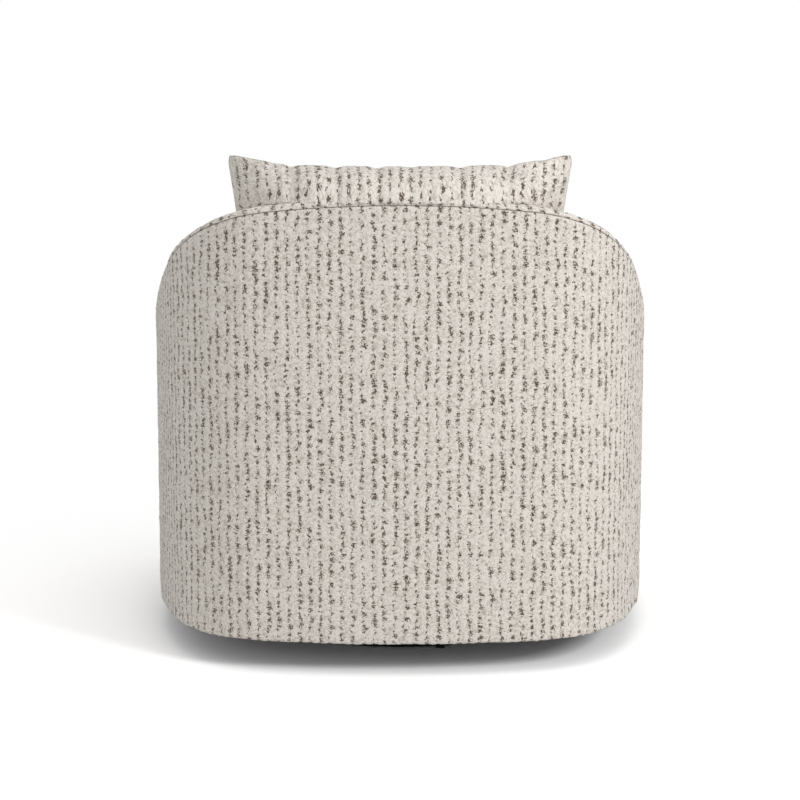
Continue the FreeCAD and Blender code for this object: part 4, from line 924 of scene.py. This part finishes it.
def boucle():
    """Chunky wool and cotton boucle: pale loopy yarn in upright columns with dark slub showing between."""
    made, tree, output = material("wool_boucle_columns")
    place = add(tree, "ShaderNodeAttribute", attribute_name="cloth").outputs["Vector"]
    cloth = add(tree, "ShaderNodeVectorMath", {0: place, 1: (1, 1, 0)}, operation="MULTIPLY")
    # the yarn wanders a millimetre or two over a few centimetres, and frays over a few millimetres
    moved = cloth
    for length, reach in WANDERS:
        wander = noise(tree, cloth, length, 2, 0.6)
        off_middle = {0: wander.outputs[1], 1: (0.5, 0.5, 0.5)}
        middle = add(tree, "ShaderNodeVectorMath", off_middle, operation="SUBTRACT")
        reaches = {0: middle, 1: (reach, reach, 0), 2: moved}
        moved = add(tree, "ShaderNodeVectorMath", reaches, operation="MULTIPLY_ADD")
    split = add(tree, "ShaderNodeSeparateXYZ", {0: moved})
    u, v = split.outputs[0], split.outputs[1]
    columns = maths(tree, "MULTIPLY", u, 1 / COLUMN)
    share = maths(tree, "PINGPONG", columns, 0.5)
    # 0 on a column and 1 in the gap between two
    gap = add(tree, "ShaderNodeMapRange", {0: share, 1: 0.26, 2: 0.48}, interpolation_type="SMOOTHSTEP")
    # slub flecks in the gaps, 3 to 5 mm wide and 4 to 8 mm tall, and small ones all over
    large = flecks(tree, u, v, *LARGE_FLECKS)
    small = flecks(tree, u, v, *SMALL_FLECKS)
    ragged = noise(tree, cloth, RAG_SIZE, 2, 0.6)
    # their edges fray by the ragged noise; the small ones thin out on the columns by "far" and are fainter
    marks = []
    for distance, rough, far in ((large, 5.6, 0.0), (small, 4.0, 0.78)):
        capped = maths(tree, "MINIMUM", distance, 1.9)
        spread = maths(tree, "MULTIPLY_ADD", gap, -far, capped)
        torn = maths(tree, "MULTIPLY_ADD", ragged.outputs[0], rough, spread)
        low = 0.5 * rough + 0.42 - 0.68 * far
        edges = {0: torn, 1: low, 2: low + 0.75, 3: 1.0 - 0.35 * far, 4: 0.0}
        marks.append(add(tree, "ShaderNodeMapRange", edges, interpolation_type="SMOOTHSTEP"))
    fleck = maths(tree, "MAXIMUM", marks[0], marks[1])
    # loops of the pale yarn, lumps about 4 mm across with strands in them; the strands vary its tone, and
    # painted shade darkens it between the lumps
    spots = {"Vector": moved, "Scale": 1 / LUMP_SIZE, "Smoothness": 0.5}
    lumps = add(tree, "ShaderNodeTexVoronoi", spots, feature="SMOOTH_F1")
    strands = noise(tree, cloth, STRAND_SIZE, 3, 0.65)
    crown = maths(tree, "MULTIPLY_ADD", lumps.outputs[0], -0.7, strands.outputs[0])
    # painted shade: the yarn is a little darker in the gaps between columns
    lit = maths(tree, "MULTIPLY_ADD", gap, -0.05, crown)
    yarn = add(tree, "ShaderNodeMapRange", {0: lit, 1: -0.28, 2: 0.24, 3: 0.0, 4: 1.0})
    # painted shade: the pale yarn and the dark slub both darken where the yarn is shaded
    pale = tint(tree, yarn, colour(YARN_SHADE), colour(YARN_PALE))
    dark = tint(tree, yarn, colour(SLUB_DARK), colour(SLUB_PALE))
    mixed = tint(tree, fleck, pale, dark)
    # painted shade: cloth held in a seam lies in shade and packed tight, so its colour is drawn towards a shade
    # colour
    away = add(tree, "ShaderNodeSeparateXYZ", {0: place})
    held = add(tree, "ShaderNodeMapRange", {0: away.outputs[2], 1: 0.0, 2: 0.22, 3: 0.7, 4: 0.0})
    finished = tint(tree, held, mixed, colour(SEAM_PAINTED_SHADE))
    height = maths(tree, "MULTIPLY_ADD", fleck, -0.5, lit)
    bump = add(tree, "ShaderNodeBump", {"Strength": 0.8, "Distance": 0.0011, "Height": height})
    surface = add(
        tree,
        "ShaderNodeBsdfPrincipled",
        {
            "Base Color": finished,
            "Roughness": 0.95,
            "Specular IOR Level": 0.2,
            "Sheen Weight": 0.12,
            "Sheen Roughness": 0.5,
            "Normal": bump,
        },
    )
    tree.links.new(surface.outputs[0], output.inputs[0])
    return made


def coated(name, low, high, rough, grain, depth, metal=0.0, stretch=(1, 1, 1), clear=0.0):
    """A finish that varies between two tones and in relief at the size of its grain, and in roughness."""
    made, tree, output = material(name)
    place = add(tree, "ShaderNodeTexCoord").outputs["Object"]
    drawn = add(tree, "ShaderNodeVectorMath", {0: place, 1: stretch}, operation="MULTIPLY")
    fine = noise(tree, drawn, grain, 3, 0.6)
    broad = add(tree, "ShaderNodeTexNoise", {"Vector": drawn, "Scale": 0.12 / grain, "Detail": 2})
    both = maths(tree, "MULTIPLY", fine.outputs[0], broad.outputs[0])
    share = add(tree, "ShaderNodeMapRange", {0: both, 1: 0.12, 2: 0.40})
    tone = tint(tree, share, colour(low), colour(high))
    wear = {0: broad.outputs[0], 1: 0.3, 2: 0.7, 3: rough * 0.85, 4: min(1, rough * 1.15)}
    worn = add(tree, "ShaderNodeMapRange", wear)
    bump = add(tree, "ShaderNodeBump", {"Strength": 0.6, "Distance": depth, "Height": fine.outputs[0]})
    surface = add(
        tree,
        "ShaderNodeBsdfPrincipled",
        {
            "Base Color": tone,
            "Metallic": metal,
            "Roughness": worn,
            "Coat Weight": clear,
            "Normal": bump,
        },
    )
    tree.links.new(surface.outputs[0], output.inputs[0])
    return made


def woven(name, low, high, thread, depth):
    """A plain-woven or bonded cloth with threads crossing at a real spacing."""
    made, tree, output = material(name)
    place = add(tree, "ShaderNodeTexCoord").outputs["Object"]
    split = add(tree, "ShaderNodeSeparateXYZ", {0: place})
    waves = []
    for axis in (0, 1):
        turns = maths(tree, "MULTIPLY", split.outputs[axis], math.pi / thread)
        waves.append(maths(tree, "SINE", turns))
    cross = maths(tree, "MULTIPLY", waves[0], waves[1])
    fuzz = add(tree, "ShaderNodeTexNoise", {"Vector": place, "Scale": 0.5 / thread, "Detail": 3})
    both = maths(tree, "MULTIPLY_ADD", cross, 0.25, fuzz.outputs[0])
    share = add(tree, "ShaderNodeMapRange", {0: both, 1: 0.2, 2: 0.8})
    tone = tint(tree, share, colour(low), colour(high))
    bump = add(tree, "ShaderNodeBump", {"Strength": 0.8, "Distance": depth, "Height": both})
    surface = add(
        tree,
        "ShaderNodeBsdfPrincipled",
        {"Base Color": tone, "Roughness": 0.9, "Sheen Weight": 0.1, "Normal": bump},
    )
    tree.links.new(surface.outputs[0], output.inputs[0])
    return made


def paint(finish, *names):
    """Gives a finish to nodes or pieces."""
    for name in names:
        piece = nodes[name] if isinstance(name, str) else name
        piece.data.materials.clear()
        piece.data.materials.append(finish)


def make_rocker_coils():
    """The coil springs, whose lower ends sit on the cradle and upper ends under the chair, copied as one piece.
    """
    coils = copy_of("rocker_springs", "rocker_coils")
    # half the facets of the round wire, or the shared model thins the piece by itself
    add_modifier(coils, "DECIMATE", ratio=0.5)
    smooth(coils)
    return coils


def paint_frame(coils):
    """Gives every node that stays its real finish."""
    paint(
        # powder-coated mild steel: near black, slightly textured, half matt
        coated("black_powder_coated_steel", "#0f1011", "#1b1c1e", 0.45, 0.0012, 0.00004),
        "base_ring",
        "base_arms",
        "rocker_cradle",
        "mechanism_rails",
        "rocker_brackets",
        "spring_plate",
    )
    # moulded polyethylene
    plastic = coated("black_moulded_plastic", "#121213", "#1e1e20", 0.5, 0.0008, 0.00002)
    paint(plastic, "floor_glides", "pivot_bushes")
    # vulcanised rubber
    paint(coated("black_rubber", "#151515", "#232322", 0.85, 0.0010, 0.00005), "rock_bumpers")
    paint(
        # bright zinc plate: pale bluish metal with cloudy passivation
        coated("zinc_plated_steel", "#a9adb0", "#c9ccd0", 0.32, 0.0025, 0.00001, metal=1.0),
        "bearing_lower_race",
        "bearing_upper_race",
        "lower_race_bolts",
        "upper_race_bolts",
        "king_bolt",
        "king_nut",
        "pivot_pins",
        "pivot_nuts",
        "rail_bolts",
        "rail_nuts",
        "lower_spring_cups",
        "upper_spring_cups",
        "spring_clips",
    )
    # polished chrome steel
    polished = coated("polished_bearing_steel", "#b9bcc0", "#d4d6d8", 0.12, 0.0010, 0.000002, metal=1.0)
    paint(polished, "bearing_balls")
    # rolled brass
    brass = coated("rolled_brass_cage", "#9a7a3c", "#c6a45c", 0.30, 0.0015, 0.00001, metal=1.0)
    paint(brass, "bearing_cage")
    paint(
        # oil-tempered wire: dark grey with a faint drawn grain
        coated("oil_tempered_spring_wire", "#3a3c3e", "#55585b", 0.38, 0.0012, 0.00001, metal=0.9),
        coils,
        "seat_springs",
    )
    paint(
        # planed poplar and plywood, unfinished: pale straw with long grain
        coated("planed_poplar", "#b4946a", "#d9bf97", 0.7, 0.0030, 0.0001, stretch=(0.15, 1, 1)),
        "front_cross_rail",
        "rear_cross_rail",
        "bottom_hoop",
        "seat_hoop",
        "front_seat_rail",
        "lower_posts",
        "upper_posts",
        "top_rail",
        "corner_blocks",
    )
    # pressed wood fibre
    paint(coated("grey_fibre_board", "#7d7468", "#a0968a", 0.95, 0.0015, 0.0001), "tack_board")


def dress():
    """Builds the soft pieces, gives them their finish and sets them on their bodies."""
    cover = boucle()
    lining = woven("cotton_deck_lining", "#b9b2a4", "#d8d2c6", 0.0012, 0.0003)
    dust = woven("black_spunbond", "#151516", "#242425", 0.0016, 0.0002)
    outside, inside, apron = make_outside(), make_inside(), make_apron()
    left, right = make_arm_front(1), make_arm_front(-1)
    finish_panel(outside, True)
    finish_panel(inside, True, INSIDE_THICK)
    finish_panel(apron, True)
    finish_panel(left, True)
    finish_panel(right, False)
    deck, sheet = make_deck(), make_dust_sheet()
    seat, pillow, zipper = make_seat_cushion(), make_pillow(), make_zip()
    stands_for = [
        (outside, "chair", "boucle_cover", 0.9, ["outside_cover", "outer_wadding"]),
        (inside, "chair", "boucle_cover", 0.9, ["inside_cover", "inside_padding", "roll_padding"]),
        (left, "chair", "boucle_cover", 0.9, ["arm_front_covers", "arm_front_padding"]),
        (right, "chair", "boucle_cover", 0.9, []),
        (apron, "chair", "boucle_cover", 0.9, ["front_apron_cover", "front_padding"]),
        (deck, "chair", "lining_cloth", 0.8, ["deck_cover", "deck_pad"]),
        (seat, "seat_cushion", "boucle_cover", 0.85, ["seat_cushion_cover", "seat_cushion_core"]),
        (pillow, "back_pillow", "boucle_cover", 0.7, ["back_pillow_cover", "back_pillow_insert"]),
    ]
    for piece, body, slot, fill, replaced in stands_for:
        paint(lining if piece is deck else cover, piece)
        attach(piece, body)
        if replaced:
            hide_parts(*replaced)
    paint(dust, sheet)
    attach(sheet, "chair")
    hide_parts("dust_cover")
    paint(woven("nylon_zip_tape", "#a89f92", "#c9c1b5", 0.0009, 0.0001), zipper)
    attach(zipper, "seat_cushion")
    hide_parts("seat_cushion_zip")


def set_coils(coils):
    """Hides the model's springs and bakes the coils' placement into their mesh."""
    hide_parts("rocker_springs")
    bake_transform(coils)


# Studio


def make_camera():
    data = bpy.data.cameras.new("camera")
    data.sensor_width = 36
    data.lens = LENS
    camera = bpy.data.objects.new("camera", data)
    bpy.context.scene.collection.objects.link(camera)
    camera.location = CAMERA_PLACE
    camera.rotation_euler = (math.radians(90 - CAMERA_ABOVE), 0, math.pi)
    bpy.context.scene.camera = camera


def make_lamp(name, place, aim, size, power):
    """A soft square lamp that faces a point."""
    data = bpy.data.lights.new(name, "AREA")
    data.shape = "SQUARE"
    data.size = size
    data.energy = power
    lamp = bpy.data.objects.new(name, data)
    bpy.context.scene.collection.objects.link(lamp)
    lamp.location = place
    way = np.array(aim, float) - np.array(place, float)
    flat = math.hypot(way[0], way[1])
    lamp.rotation_euler = (math.atan2(flat, -way[2]), 0, math.atan2(-way[0], way[1]))


def make_studio():
    """A white floor that keeps the shadow, a white backdrop and soft lamps."""
    bpy.ops.mesh.primitive_plane_add(size=60, location=(0, 0, -0.0002))
    floor = bpy.context.object
    floor.name = floor.data.name = "floor"
    bpy.ops.object.transform_apply()
    made, tree, output = material("white_studio_floor")
    path = add(tree, "ShaderNodeLightPath")
    # near the chair the lit floor reads as white to the camera and keeps the shadow; far off it is plain white
    near_by = add(tree, "ShaderNodeBsdfDiffuse", {"Color": (FLOOR_SEEN, FLOOR_SEEN, FLOOR_SEEN, 1)})
    far_off = add(tree, "ShaderNodeEmission", {"Color": (1, 1, 1, 1), "Strength": 1.0})
    place = add(tree, "ShaderNodeTexCoord").outputs["Object"]
    away = add(tree, "ShaderNodeVectorMath", {0: place}, operation="LENGTH").outputs["Value"]
    fade = {0: away, 1: FLOOR_NEAR, 2: FLOOR_FAR}
    blend = add(tree, "ShaderNodeMapRange", fade, interpolation_type="SMOOTHSTEP")
    seen = add(tree, "ShaderNodeMixShader", {0: blend, 1: near_by, 2: far_off})
    felt = add(tree, "ShaderNodeBsdfDiffuse", {"Color": (FLOOR_FELT, FLOOR_FELT, FLOOR_FELT, 1)})
    mixed = add(tree, "ShaderNodeMixShader", {0: path.outputs["Is Camera Ray"], 1: felt, 2: seen})
    tree.links.new(mixed.outputs[0], output.inputs[0])
    paint(made, floor)
    world = bpy.data.worlds.new("studio")
    bpy.context.scene.world = world
    world.use_nodes = True
    tree = world.node_tree
    tree.nodes.clear()
    path = add(tree, "ShaderNodeLightPath")
    direct = maths(tree, "MAXIMUM", path.outputs["Is Camera Ray"], path.outputs["Is Glossy Ray"])
    shown = maths(tree, "MAXIMUM", direct, path.outputs["Is Transmission Ray"])
    light = add(tree, "ShaderNodeBackground", {0: (1, 1, 1, 1), 1: WORLD_LIGHT})
    white = add(tree, "ShaderNodeBackground", {0: (1, 1, 1, 1), 1: 1.0})
    mixed = add(tree, "ShaderNodeMixShader", {0: shown, 1: light, 2: white})
    add(tree, "ShaderNodeOutputWorld", {0: mixed})
    for lamp in LAMPS:
        make_lamp(*lamp)
    bpy.context.scene.view_settings.view_transform = "Standard"


make_camera()
rocker_coils = make_rocker_coils()
paint_frame(rocker_coils)
set_coils(rocker_coils)
dress()
make_studio()
